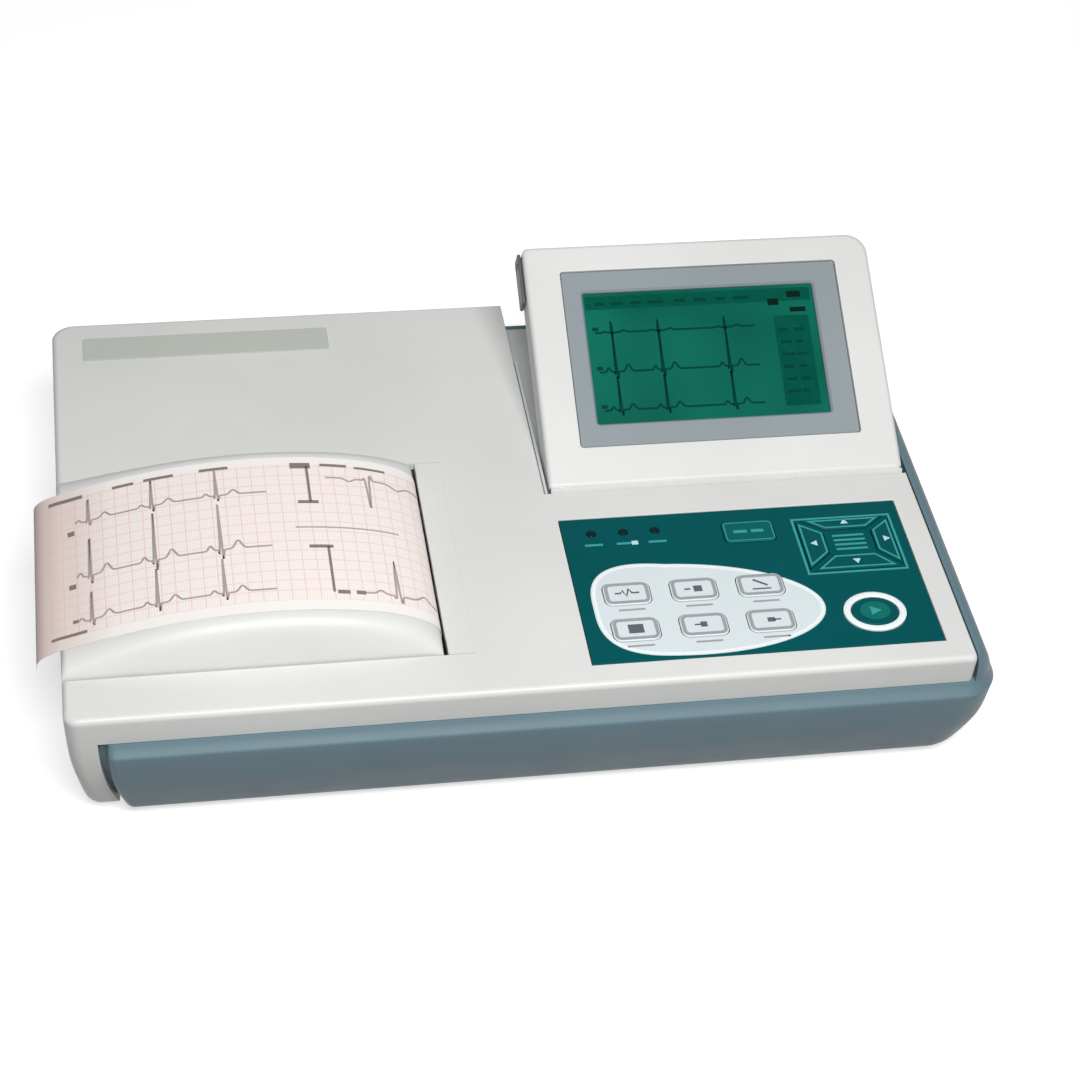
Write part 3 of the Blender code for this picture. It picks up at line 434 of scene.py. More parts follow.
def chart_paper():
    """Thermal chart paper: a pink millimetre grid with stronger lines every 5 mm, plain margins, and painted
    shade on the free end that curls down.
    """
    white = tint(251, 246, 243)
    made = Finish("chart_paper", white, 0.62)
    along, across, _ = made.split(made.node("Attribute", {}, attribute_name="sheet")["Vector"])
    over_low, under_high = made.math("GREATER_THAN", across, 5.0), made.math("LESS_THAN", across, 76.0)
    inside = made.math("MULTIPLY", over_low, under_high)
    base = white
    for sizes, colour in (((1.0, 0.14, 0.12), tint(250, 234, 229)), ((5.0, 0.3, 0.15), tint(244, 215, 209))):
        drawn = made.math("MULTIPLY", made.grid(along, across, *sizes), inside)
        base = made.mix(drawn, base, colour)
    # Painted shade: the sheet darkens over its first 34 mm from the free end, where it curls down away from
    # the light.
    painted_end_shade = made.ramp(along, 0.0, 34.0, 1.0, 0.0)
    made.set(Base_Color=made.mix(painted_end_shade, base, tint(222, 199, 192)))
    made.bump(made.noise(made.place(), 1100.0, 4.0, 0.7), 0.12)
    return made.material


def roll_paper():
    """The wound roll: faint rings on its ends, where the layers show."""
    colour = tint(250, 240, 236)
    made = Finish("roll_paper", colour, 0.7)
    place = made.split(made.place())
    centre = at(ROLL[0], 0, ROLL[1])
    offsets = [made.math("SUBTRACT", place[axis], centre[axis]) for axis in (0, 2)]
    squares = [made.math("MULTIPLY", offset, offset) for offset in offsets]
    radius = made.math("SQRT", made.math("ADD", *squares))
    wound = made.noise(made.node("CombineXYZ", {"X": radius})[0], 2600.0)
    made.set(Base_Color=made.mix(made.ramp(wound, 0.35, 0.65), shade(colour, 0.82), colour))
    made.bump(wound, 0.3, 0.05)
    return made.material


def lcd_film():
    """A backlit green display film with its fine dot pitch, and light falling off in patches."""
    lit = tint(12, 108, 90)
    made = Finish("lcd_film", lit, 0.4, Specular_IOR_Level=0.06, Emission_Strength=0.25)
    where = made.place()
    across, up, _ = made.split(where)
    gaps = made.grid(across, up, LCD_DOT_PITCH, LCD_DOT_GAP, LCD_DOT_GAP)
    patch = made.ramp(made.noise(where, 22.0, 1.0), 0.3, 0.7)
    glow = made.mix(patch, tint(6, 86, 70), lit)
    glow = made.mix(made.math("MULTIPLY", gaps, 0.25), glow, shade(lit, 0.4))
    made.set(Base_Color=glow, Emission_Color=glow)
    return made.material


def circuit():
    """Green solder mask with paler tracks under it."""
    colour = tint(22, 88, 48)
    made = Finish("circuit", colour, 0.35)
    made.set(Base_Color=made.node("TexBrick", {
        "Vector": made.place(), "Scale": 60.0, "Color1": colour, "Color2": shade(colour, 1.5),
        "Mortar": shade(colour, 0.5)})["Color"])
    return made.material


LOOKS = {
    "white": (moulded("white_plastic", (226, 227, 224), 0.42), "white_shell"),
    "blue_grey": (moulded("blue_grey_plastic", (104, 129, 139), 0.45, Specular_IOR_Level=0.3),
                  "blue_grey_shell"),
    "tray": (moulded("tray_plastic", (214, 217, 217), 0.5, 0.4), "grey_tray"),
    "dark": (moulded("dark_plastic", (92, 94, 96), 0.45, 0.4), "dark_plastic"),
    "black": (moulded("black_plastic", (38, 39, 41), 0.42, 0.4), "dark_plastic"),
    "frame": (moulded("frame_border", (147, 157, 162), 0.4, 0.1, Specular_IOR_Level=0.3), "frame_grey"),
    "lcd": (lcd_film(), "lcd"),
    "teal": (moulded("teal_film", (4, 84, 88), 0.36, 0.15, 0.08, 2500.0, Specular_IOR_Level=0.12),
             "keypad_film"),
    "teal_key": (moulded("teal_key_film", (14, 98, 98), 0.36, 0.15, 0.08, 2500.0, Specular_IOR_Level=0.12),
                 "keypad_film"),
    "film_white": (moulded("white_film", (221, 230, 232), 0.38, 0.1, 0.03, 2500.0), "key_white"),
    "film_bright": (printed("bright_film", (240, 248, 250)), "key_white"),
    "green": (moulded("start_film", (6, 112, 104), 0.32, 0.1), "start_green"),
    "lens": (moulded("light_lens", (10, 40, 40), 0.15, 0.0), "light_lens"),
    "label": (moulded("label_film", (197, 203, 195), 0.4, 0.12, 0.03, 2500.0), "label"),
    "paper": (chart_paper(), "paper"),
    "roll": (roll_paper(), "paper"),
    "rubber": (rubbery("black_rubber", (34, 34, 35)), "rubber"),
    "steel": (metal("plain_steel", (190, 191, 193), 0.28), "steel"),
    "acetal": (moulded("acetal", (224, 221, 210), 0.35, 0.1), "gear_plastic"),
    "circuit": (circuit(), "circuit_board"),
    "battery": (moulded("battery_sleeve", (38, 62, 118), 0.3, 0.1), "battery_wrap"),
    "aluminium": (metal("sheet_aluminium", (205, 206, 209), 0.34), "aluminium"),
    "ink_grey": (printed("grey_ink", (160, 164, 168)), "key_white"),
    "ink_dark": (printed("dark_grey_ink", (96, 104, 110)), "key_white"),
    "ink_teal": (printed("pale_teal_ink", (58, 160, 156)), "keypad_film"),
    "ink_white": (printed("white_ink", (196, 226, 230)), "keypad_film"),
    "ink_trace": (printed("grey_trace_ink", (178, 166, 162)), "paper"),
    "ink_note": (printed("grey_note_ink", (138, 128, 124)), "paper"),
    "ink_lcd": (printed("lcd_mark", (3, 66, 56), 0.6, Specular_IOR_Level=0.03), "lcd"),
    "ink_block": (printed("lcd_block", (10, 36, 28), 0.6, Specular_IOR_Level=0.03), "lcd"),
    "lcd_shade": (printed("lcd_shade", (6, 98, 80), 0.6, Specular_IOR_Level=0.03), "lcd"),
}


# ---------------- pieces
def add_object(name, data):
    made = bpy.data.objects.new(name, data)
    bpy.context.scene.collection.objects.link(made)
    return made


def to_object(name, bm, turn=None):
    """A bmesh in deck millimetres as an object with its mesh in the frame's metres."""
    bmesh.ops.recalc_face_normals(bm, faces=bm.faces)
    move = Matrix.Translation(ORIGIN) @ Matrix.Scale(MM, 4)
    bmesh.ops.transform(bm, matrix=turn @ move if turn else move, verts=bm.verts)
    mesh = bpy.data.meshes.new(name)
    bm.to_mesh(mesh)
    bm.free()
    return add_object(name, mesh)


def ease_edges(made, width, degrees):
    """A small bevel, width millimetres wide, on edges sharper than an angle."""
    ease = made.modifiers.new("ease", "BEVEL")
    ease.width = width * MM
    ease.segments = 2
    ease.limit_method = "ANGLE"
    ease.angle_limit = math.radians(degrees)


def solid(name, base, look, body="root", stands_for=(), add=(), cut=(), bevel=0.0, turn=None, sharp=38):
    """One visible piece: a base solid with others added and cut, its edges eased, riding on a body."""
    made = to_object(name, base, turn)
    helpers = []
    for operation, tools in (("UNION", add), ("DIFFERENCE", cut)):
        for tool in tools:
            helper = to_object(name + "_tool", tool, turn)
            helpers.append(helper)
            change = made.modifiers.new(operation, "BOOLEAN")
            change.operation = operation
            change.solver = "EXACT"
            change.object = helper
    if bevel:
        ease_edges(made, bevel, 38)
    if made.modifiers:
        depsgraph = bpy.context.evaluated_depsgraph_get()
        baked = bpy.data.meshes.new_from_object(made.evaluated_get(depsgraph))
        made.modifiers.clear()
        made.data = baked
    for helper in helpers:
        bpy.data.objects.remove(helper)
    made.data.shade_smooth()
    made.data.set_sharp_from_angle(angle=math.radians(sharp))
    even = made.modifiers.new("even", "WEIGHTED_NORMAL")
    even.keep_sharp = True
    dress(made, look)
    if body:
        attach(made, body)
    if stands_for:
        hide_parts(*stands_for)
    return made


def dress(made, look):
    finish, slot = LOOKS[look]
    made.data.materials.clear()
    made.data.materials.append(finish)


HINGE = at(0, HINGE_Y, HINGE_Z)
DISPLAY_TURN = (Matrix.Translation(HINGE) @ Matrix.Rotation(math.radians(DISPLAY_TILT), 4, "X")
                @ Matrix.Translation(-HINGE))


def on_display(name, base, look, **extras):
    """A piece modelled with the display lying flat, and tilted with it."""
    return solid(name, base, look, "display", turn=DISPLAY_TURN, **extras)


# ---------------- shells
TOP_SECTIONS = (  # z, left edge, front and rear inset
    (FLOOR_Z, 10.0, 11.0),
    (-51.2, 7.6, 9.0),
    (-49.0, 5.6, 7.5),
    (-36.0, 3.5, 3.2),
    (-24.0, 1.7, 1.0),
    (RIM_Z, 0.9, 0.2),
    (-2.2, 0.5, 0.0),
)
EDGE_ROUND = 2.2
LOWER_SECTIONS = (  # z, right edge, front and rear inset, right corner radius
    (FLOOR_Z, 322.0, 8.0, 13.0),
    (-51.2, 325.0, 6.0, 14.0),
    (-49.0, 328.0, 3.6, 15.0),
    (-38.0, 332.0, -0.6, 17.0),
    (-30.0, 333.4, -2.8, 17.0),
    (-20.0, 333.6, -FRONT_BULGE, 16.0),
    (-16.0, 333.2, -FRONT_BULGE, 14.0),
    (RIM_Z - GAP, 331.6, -0.5, 11.0),
    (-8.0, 330.0, -0.2, 9.0),
    (-4.0, 328.0, 0.6, 7.5),
    (-2.0, 325.9, 1.6, 6.0),
    (-1.4, 324.6, 2.6, 5.0),
)
LEDGE_ROW = 6


def deck_outline(x0, inset, shrink=0.0):
    front_left, rear_left = LEFT_CORNER_R
    right = 2.0
    x1 = DECK_W - 0.4 - shrink - max(0.0, inset) * 0.4
    return rounded_rect(x0 + shrink, x1, inset + shrink, DECK_D - inset - shrink,
                        (front_left, right, right, rear_left), 10)


def flared(x0, x1, y0, y1, bottom, flare=0.45):
    """A cutter for an opening in the deck, with its upper edge eased outwards."""
    opening = [(x0, y0), (x1, y0), (x1, y1), (x0, y1)]
    levels = [(bottom, opening), (-flare, opening)]
    for degrees in (30, 60, 90):
        turn = math.radians(degrees)
        levels.append((-flare + flare * math.sin(turn), grow(opening, flare * (1 - math.cos(turn)))))
    levels.append((5.0, grow(opening, flare + 0.01)))
    return loft(levels)


def hoop_edge(z):
    """Where the hoop that wraps the left end stops: its edge leans to the right towards the floor."""
    depth = min(max((RIM_Z - z) / (RIM_Z - FLOOR_Z), 0.0), 1.0)
    return HOOP_W + HOOP_LEAN * depth * depth


def top_cover():
    rows = soft_rows(TOP_SECTIONS)
    for degrees in range(15, 91, 15):
        turn = math.radians(degrees)
        inset = EDGE_ROUND * (1 - math.cos(turn))
        rows.append((-EDGE_ROUND * (1 - math.sin(turn)), 0.5 + inset, inset))
    outer = loft([(z, deck_outline(x0, inset)) for z, x0, inset in rows])
    hollow = [(z, deck_outline(x0, inset, WALL)) for z, x0, inset in TOP_SECTIONS if -49.5 < z < -5.0]
    hollow.append((-DECK_THICK, deck_outline(0.6, 0.1, WALL)))
    opening_y = (DOOR_Y0 - 0.8, DOOR_Y1 + 0.8)
    x0, x1, y0, y1 = KEYPAD
    cuts = [
        prism([(hoop_edge(z), z) for z in [-70.0] + [RIM_Z - 4.0 * step for step in range(10, -1, -1)]]
              + [(400.0, RIM_Z), (400.0, -70.0)], "Y", -50, 300),
        loft(hollow),
        box(-20, TEAR_BAR_X1 + GAP, *opening_y, -6.0, 5.0),
        box(-20, 5.2, *opening_y, -10.6, -2.0),
        flared(x0 - GAP, x1 + GAP, y0 - GAP, y1 + GAP, -2.0, 0.3),
        box(x0 + 3.5, x1 - 3.5, y0 + 3.5, y1 - 3.5, -6.0, 5.0),
        flared(RECESS_X0, 400, RECESS_Y0, 300, -30, 0.6),
    ]
    solid("top_cover_shell", outer, "white", stands_for=["top_cover"], cut=cuts, sharp=45)
    # Behind the space the display's catch folds into, where the tray's own side wall stops short.
    pocket_y = (FLAT_Y + CATCH_V[0] - 3.0, DECK_D - WALL + 0.2)
    pocket = box(RECESS_X0 - 1.2, RECESS_X0 - 0.1, *pocket_y, RECESS_FLOOR_Z - 2.0, -DECK_THICK + 0.2)
    solid("catch_pocket_wall", pocket, "white")


def lower_outline(x0, x1, inset, corner):
    return rounded_rect(x0, x1, inset, DECK_D - inset, (2.6, corner, corner, 2.6), 12)


def bottom_cover():
    shell_x0 = HOOP_W + GROOVE_W
    rows = soft_rows(LOWER_SECTIONS[:LEDGE_ROW + 1])[:-1] + soft_rows(LOWER_SECTIONS[LEDGE_ROW:])
    outer = loft([(z, lower_outline(hoop_edge(z) + GROOVE_W, x1, inset, r)) for z, x1, inset, r in rows])
    hollow = [(FLOOR_Z + WALL, lower_outline(shell_x0 + 2, 320.0, 8.0, 12.0))]
    for z, x1, inset, corner in LOWER_SECTIONS:
        if -45 < z < -6:
            inside = max(inset + WALL, 2.4)
            hollow.append((z, lower_outline(shell_x0 + 2, x1 - 1.5 * WALL, inside, max(corner - WALL, 6.0))))
    neck = []
    neck_hollow = []
    front_r, rear_r = LEFT_CORNER_R
    for z, left, inset in TOP_SECTIONS:
        if -49.5 < z <= RIM_Z:
            level = max(z, -48.7) if z < RIM_Z else RIM_Z - GAP
            near = inset + WALL + GAP
            neck.append((level, rounded_rect(left + WALL + GAP, shell_x0 + 10, near, DECK_D - near,
                                             (front_r, 0.6, 0.6, rear_r))))
            near += 1.8
            neck_hollow.append((level, rounded_rect(2.0, shell_x0 + 14, near, DECK_D - near, 0.6)))
    neck_hollow[0] = (FLOOR_Z + 2 * WALL, neck_hollow[0][1])
    neck_hollow[-1] = (0.0, neck_hollow[-1][1])
    cuts = [loft(hollow), loft(neck_hollow), box(-50, DECK_W + GAP, -50, 300, RIM_Z - GAP, 20),
            box(-50, HOOP_W - 2.9, -50, 300, -60, 20)]
    cuts += [rod("Z", spot, 2.3, -60, -40) for spot in FOOT_SPOTS]
    cuts += [rod("Z", spot, 3.2, -60, -40) for spot in SCREW_SPOTS]
    cuts.append(box(*BATTERY_BAY, -60, -40))
    px0, px1, pz0, pz1 = REAR_PANEL
    cuts.append(box(px0 - GAP, px1 + GAP, DECK_D - 12, DECK_D + 20, pz0 - GAP, pz1 + GAP))
    sy0, sy1, sz0, sz1 = SIDE_PANEL
    cuts.append(box(DECK_W - 12, DECK_W + 20, sy0 - GAP, sy1 + GAP, sz0 - GAP, sz1 + GAP))
    solid("bottom_cover_shell", outer, "blue_grey", stands_for=["bottom_cover"], add=[loft(neck)], cut=cuts,
          sharp=45)
    for number, (x, y) in enumerate(SCREW_SPOTS, 1):
        head_rows = ((3.2, 2.7), (1.6, 2.7), (1.1, 2.2), (1.0, 1.6))
        head = [(FLOOR_Z + up, ellipse(x, y, r, r, 32)) for up, r in head_rows]
        cross = [box(x - a, x + a, y - b, y + b, FLOOR_Z, FLOOR_Z + 2.2) for a, b in ((1.5, 0.3), (0.3, 1.5))]
        solid(f"base_screw_{number}", loft(head), "steel", cut=cross)


def feet():
    for number, (x, y) in enumerate(FOOT_SPOTS, 1):
        rows = [(TABLE_Z, 6.0), (TABLE_Z + 0.15, 6.7), (TABLE_Z + 0.6, 7.2), (TABLE_Z + 1.4, 7.6),
                (FLOOR_Z - 1.0, 8.0), (FLOOR_Z - GAP, 8.0), (FLOOR_Z - GAP, 1.9), (FLOOR_Z + 3.0, 1.9)]
        pad = loft([(z, ellipse(x, y, r, r, 48)) for z, r in rows])
        solid(f"foot_pad_{number}", pad, "rubber", stands_for=[f"foot_{number}"],
              cut=[rod("Z", (x, y), 2.6, TABLE_Z - 2, TABLE_Z + 1.6)])


def battery_cover():
    x0, x1, y0, y1 = BATTERY_BAY
    plate = rounded_rect(x0 + GAP, x1 - GAP, y0 + GAP, y1 - GAP, 1.0, 4)
    notch = rounded_rect(x0 + 34, x1 - 34, y0 + 6, y0 + 12, 2.8)
    ribs = [prism(rounded_rect(x0 + 34, x1 - 34, y, y + 1.2, 0.5, 4), "Z", FLOOR_Z - 0.3, FLOOR_Z + 0.5)
            for y in (y0 + 15, y0 + 18, y0 + 21)]
    solid("battery_door", prism(plate, "Z", FLOOR_Z, FLOOR_Z + 2.0, 0.3), "blue_grey",
          stands_for=["battery_cover"], add=ribs, cut=[prism(notch, "Z", FLOOR_Z - 1, FLOOR_Z + 1.0)])


# ---------------- display
def display_outline(side, bottom, top):
    return rounded_rect(DISPLAY_X0 + side, DISPLAY_X1 - side, FLAT_Y + bottom, FLAT_Y + DISPLAY_H - top,
                        (1.5, 2.0, 8.0, 2.5), 10)


def display():
    wx0, wx1, wv0, wv1 = WINDOW
    sx0, sx1, sv0, sv1 = SCREEN
    edge = 1.8
    front = [(FLAT_Z - 2.0, display_outline(0, 0, 0))]
    for degrees in range(0, 91, 15):
        angle = math.radians(degrees)
        inset = edge * (1 - math.cos(angle))
        front.append((FLAT_Z - edge * (1 - math.sin(angle)), display_outline(inset, inset, inset)))
    window = rounded_rect(wx0, wx1, FLAT_Y + wv0, FLAT_Y + wv1, 1.2, 6)
    opening = loft([(FLAT_Z - 5, window), (FLAT_Z - 0.4, window), (FLAT_Z - 0.12, grow(window, 0.12)),
                    (FLAT_Z + 0.01, grow(window, 0.4)), (FLAT_Z + 3, grow(window, 0.41))])
    on_display("display_front", loft(front), "white", stands_for=["display_bezel"], cut=[opening])

    back_rows = (  # depth behind the face, and the side, bottom and top insets
        (DISPLAY_T, 2.0, 6.0, 3.0), (13.0, 0.7, 3.4, 1.4), (11.6, 0.0, 1.5, 0.3), (10.0, 0.0, 0.5, 0.0),
        (7.6, 0.0, 0.0, 0.0), (2.3, 0.0, 0.0, 0.0))
    back = loft([(FLAT_Z - depth, display_outline(*insets)) for depth, *insets in soft_rows(back_rows, 3)])
    hollow = rounded_rect(DISPLAY_X0 + 2, DISPLAY_X1 - 2, FLAT_Y + 9, FLAT_Y + DISPLAY_H - 2,
                          (0.5, 0.5, 6.0, 0.5), 4)
    cuts = [prism(hollow, "Z", FLAT_Z - DISPLAY_T + 2, 10)]
    for x in LUG_XS:
        cuts.append(box(x - 2.6, x + 2.6, FLAT_Y - 2, FLAT_Y + 6.8, FLAT_Z - 20, 10))
        cuts.append(rod("X", (HINGE_Y, HINGE_Z), 1.5, x - 7.4, x + 7.4))
    for x in range(236, 270, 6):
        groove = rounded_rect(x, x + 2.4, FLAT_Y + 30, FLAT_Y + 70, 1.1, 4)
        cuts.append(prism(groove, "Z", FLAT_Z - DISPLAY_T - 2, FLAT_Z - DISPLAY_T + 0.8))
    on_display("display_back", back, "tray", stands_for=["display_back_cover"], cut=cuts)

    outer = rounded_rect(wx0 + GAP, wx1 - GAP, FLAT_Y + wv0 + GAP, FLAT_Y + wv1 - GAP, 1.0, 6)
    border = [(FLAT_Z - 2.6, outer), (FLAT_Z - 0.9, outer), (FLAT_Z - 0.7, grow(outer, -0.25))]
    screen = rounded_rect(sx0, sx1, FLAT_Y + sv0, FLAT_Y + sv1, 1.0, 6)
    opening = loft([(FLAT_Z - 5, screen), (FLAT_Z - 1.6, screen), (FLAT_Z - 0.65, grow(screen, 0.8)),
                    (FLAT_Z + 1, grow(screen, 0.8))])
    on_display("display_border", loft(border), "frame", stands_for=["display_frame"], cut=[opening])

    v0, v1 = CATCH_V
    pad = prism(rounded_rect(FLAT_Y + v0, FLAT_Y + v1, FLAT_Z - 12, FLAT_Z - 3, 1.2, 6), "X",
                DISPLAY_X0 - 1.5, DISPLAY_X0 - GAP, 0.4)
    nub = rod("Z", (DISPLAY_X0 - 1.15, FLAT_Y + 95.0), 0.75, FLAT_Z - 9, FLAT_Z - 5)
    on_display("display_side_catch", pad, "dark", stands_for=["display_catch"], add=[nub])
    hinge_cover()
    lcd_marks()


def hinge_cover():
    """The rounded lower edge of the display, concentric with its hinge, that closes the gap to the deck."""
    outer = arc(HINGE_Y, HINGE_Z, 5.75, 5.75, 150, 195, 10)
    inner = arc(HINGE_Y, HINGE_Z, 5.0, 5.0, 195, 150, 10)
    strip = prism(outer + inner, "X", DISPLAY_X0 + 0.6, DISPLAY_X1 - 0.3)
    solid("display_lower_edge", strip, "white", "display")


def beat(phase, height):
    """The height of a heart trace at a phase of 0 to 1: a low P wave, a tall spike and a T wave."""
    waves = ((0.2, 0.028, 0.10), (0.335, 0.007, -0.10), (0.36, 0.0085, 1.0), (0.385, 0.009, -0.22),
             (0.62, 0.045, 0.16))
    return height * sum(size * math.exp(-((phase - middle) / width) ** 2 / 2)
                        for middle, width, size in waves)


def trace(x0, x1, y, period, height, shift=0.0, step=0.25):
    """Points of a heart trace running from x0 to x1 round a base line at y."""
    xs = [x0 + i * step for i in range(int((x1 - x0) / step) + 1)]
    return [(x, y + beat(((x - shift) / period) % 1.0, height)) for x in xs]


def lcd_marks():
    """Three traces, a header row and a column of small marks on the screen. None of them is a letter."""
    x0, y0 = SCREEN[0], FLAT_Y + SCREEN[2]
    height = SCREEN[3] - SCREEN[2]
    period = 18.4
    strokes = []
    for share, spike in ((0.70, 4.6), (0.40, 17.0), (0.11, 14.0)):
        base = y0 + share * height
        line = []
        for start in (3.5, 21.9, 48.4):
            line += trace(x0 + start, x0 + start + period, base, period, spike, x0 + start, 0.2)
        strokes.append((line, 0.8))
        strokes.append((bar(x0 + 2.6, base + 1.6, 2.4), 1.5))
    header = ((5, 3.4), (11, 5.0), (19, 4.0), (26, 6.0), (36, 4.6), (44, 5.4), (53, 3.6), (60, 6.2))
    strokes += [(bar(x0 + x, y0 + 50.5, length), 1.3) for x, length in header]
    for row in range(6):
        y = y0 + 36.0 - row * 5.2
        strokes.append((bar(x0 + 76.5, y, 3.5 + row % 3), 1.2))
        strokes.append((bar(x0 + 82.6, y, 3.8 - row % 2), 1.2))
    corner = ((81.5, 51.0, 5.6, 2.6), (73.5, 48.0, 4.4, 2.8), (82.0, 44.4, 6.4, 2.0))
    blocks = [(bar(x0 + x, y0 + y, length), width) for x, y, length, width in corner]
    bands = [(bar(x0 + 1.0, y0 + 51.0, 90.0), 5.6), (bar(x0 + 75.0, y0 + 23.0, 14.0), 38.0)]
    for name, look, drawn, z in (("lcd_bands", "lcd_shade", bands, FLAT_Z - 2.96),
                                 ("lcd_print", "ink_lcd", strokes, FLAT_Z - 2.9),
                                 ("lcd_blocks", "ink_block", blocks, FLAT_Z - 2.9)):
        on_display(name, flat_print(drawn, z), look)


# ---------------- keypad
def egg_outline():
    """The pale field round the six keys: blunt on the left, drawn out to the right, with a sloping middle."""
    centre_x, centre_y, half_height = 219.0, 34.8, 23.4
    outline = []
    for i in range(96):
        turn = 2 * math.pi * i / 96
        across, up = math.cos(turn), math.sin(turn)
        if across > 0:
            dx, power, slope = 54.5, 2.0, -0.055
        elif up > 0:
            dx, power, slope = 30.0, 2.6, -0.16
        else:
            dx, power, slope = 30.0, 2.9, -0.05
        x = math.copysign(abs(across) ** (2 / power), across) * dx
        y = math.copysign(abs(up) ** (2 / power), up) * half_height
        outline.append((centre_x + x, centre_y + y + slope * x))
    return outline


def key_shape(outline, flange):
    """A key: a flange under the film, straight sides and a softly rounded, slightly crowned top."""
    rows = [(-2.8, grow(outline, flange)), (-2.0, grow(outline, flange)), (-2.0, outline),
            (KEY_TOP - 0.45, outline)]
    for degrees in (30, 60, 90):
        turn = math.radians(degrees)
        rows.append((KEY_TOP - 0.45 + 0.4 * math.sin(turn), grow(outline, -0.45 * (1 - math.cos(turn)))))
    rows.append((KEY_TOP, grow(outline, -1.6)))
    return loft(rows)


KEY_SYMBOLS = (  # each white key's strokes, from its middle: a wave, a box with a bar, a pen line, blocks
    (([(-4.5, 0), (-2.4, 0), (-1.6, 1.4), (-0.4, -1.6), (0.8, 2.2), (1.8, 0), (4.5, 0)], 0.8),),
    ((bar(-0.2, 0, 3.2), 3.0), (bar(-3.6, 0, 2.2), 0.8)),
    (([(-2.4, 2.6), (2.6, -0.6)], 0.9), (bar(-3.4, -2.2, 7.0), 0.7)),
    ((bar(-2.8, 0, 5.6), 4.4),),
    ((bar(-1.2, 0, 2.4), 2.6), (bar(-3.4, 0, 2.4), 0.7)),
    ((bar(-1.4, 0, 2.8), 2.2), (bar(1.0, 0, 2.6), 0.7)),
)


def arrow_keys():
    """Each arrow key's name with its outline, and the middle and direction of its arrow."""
    ax0, ax1, ay0, ay1 = ARROW_PAD
    cx0, cx1, cy0, cy1 = ARROW_CORE
    keys = (("up", [(cx0, cy1), (cx1, cy1), (ax1, ay1), (ax0, ay1)], (290.9, 74.0, 90)),
            ("down", [(ax0, ay0), (ax1, ay0), (cx1, cy0), (cx0, cy0)], (290.9, 53.2, 270)),
            ("left", [(ax0, ay0), (cx0, cy0), (cx0, cy1), (ax0, ay1)], (277.2, 63.6, 180)),
            ("right", [(cx1, cy0), (ax1, ay0), (ax1, ay1), (cx1, cy1)], (304.6, 63.9, 0)))
    return [(f"arrow_{way}_key", grow(corners, -1.0), arrow) for way, corners, arrow in keys]


def holes(outlines):
    """Cutters through the keypad film round outlines."""
    return [prism(grow(outline, GAP), "Z", -5, 5) for outline in outlines]


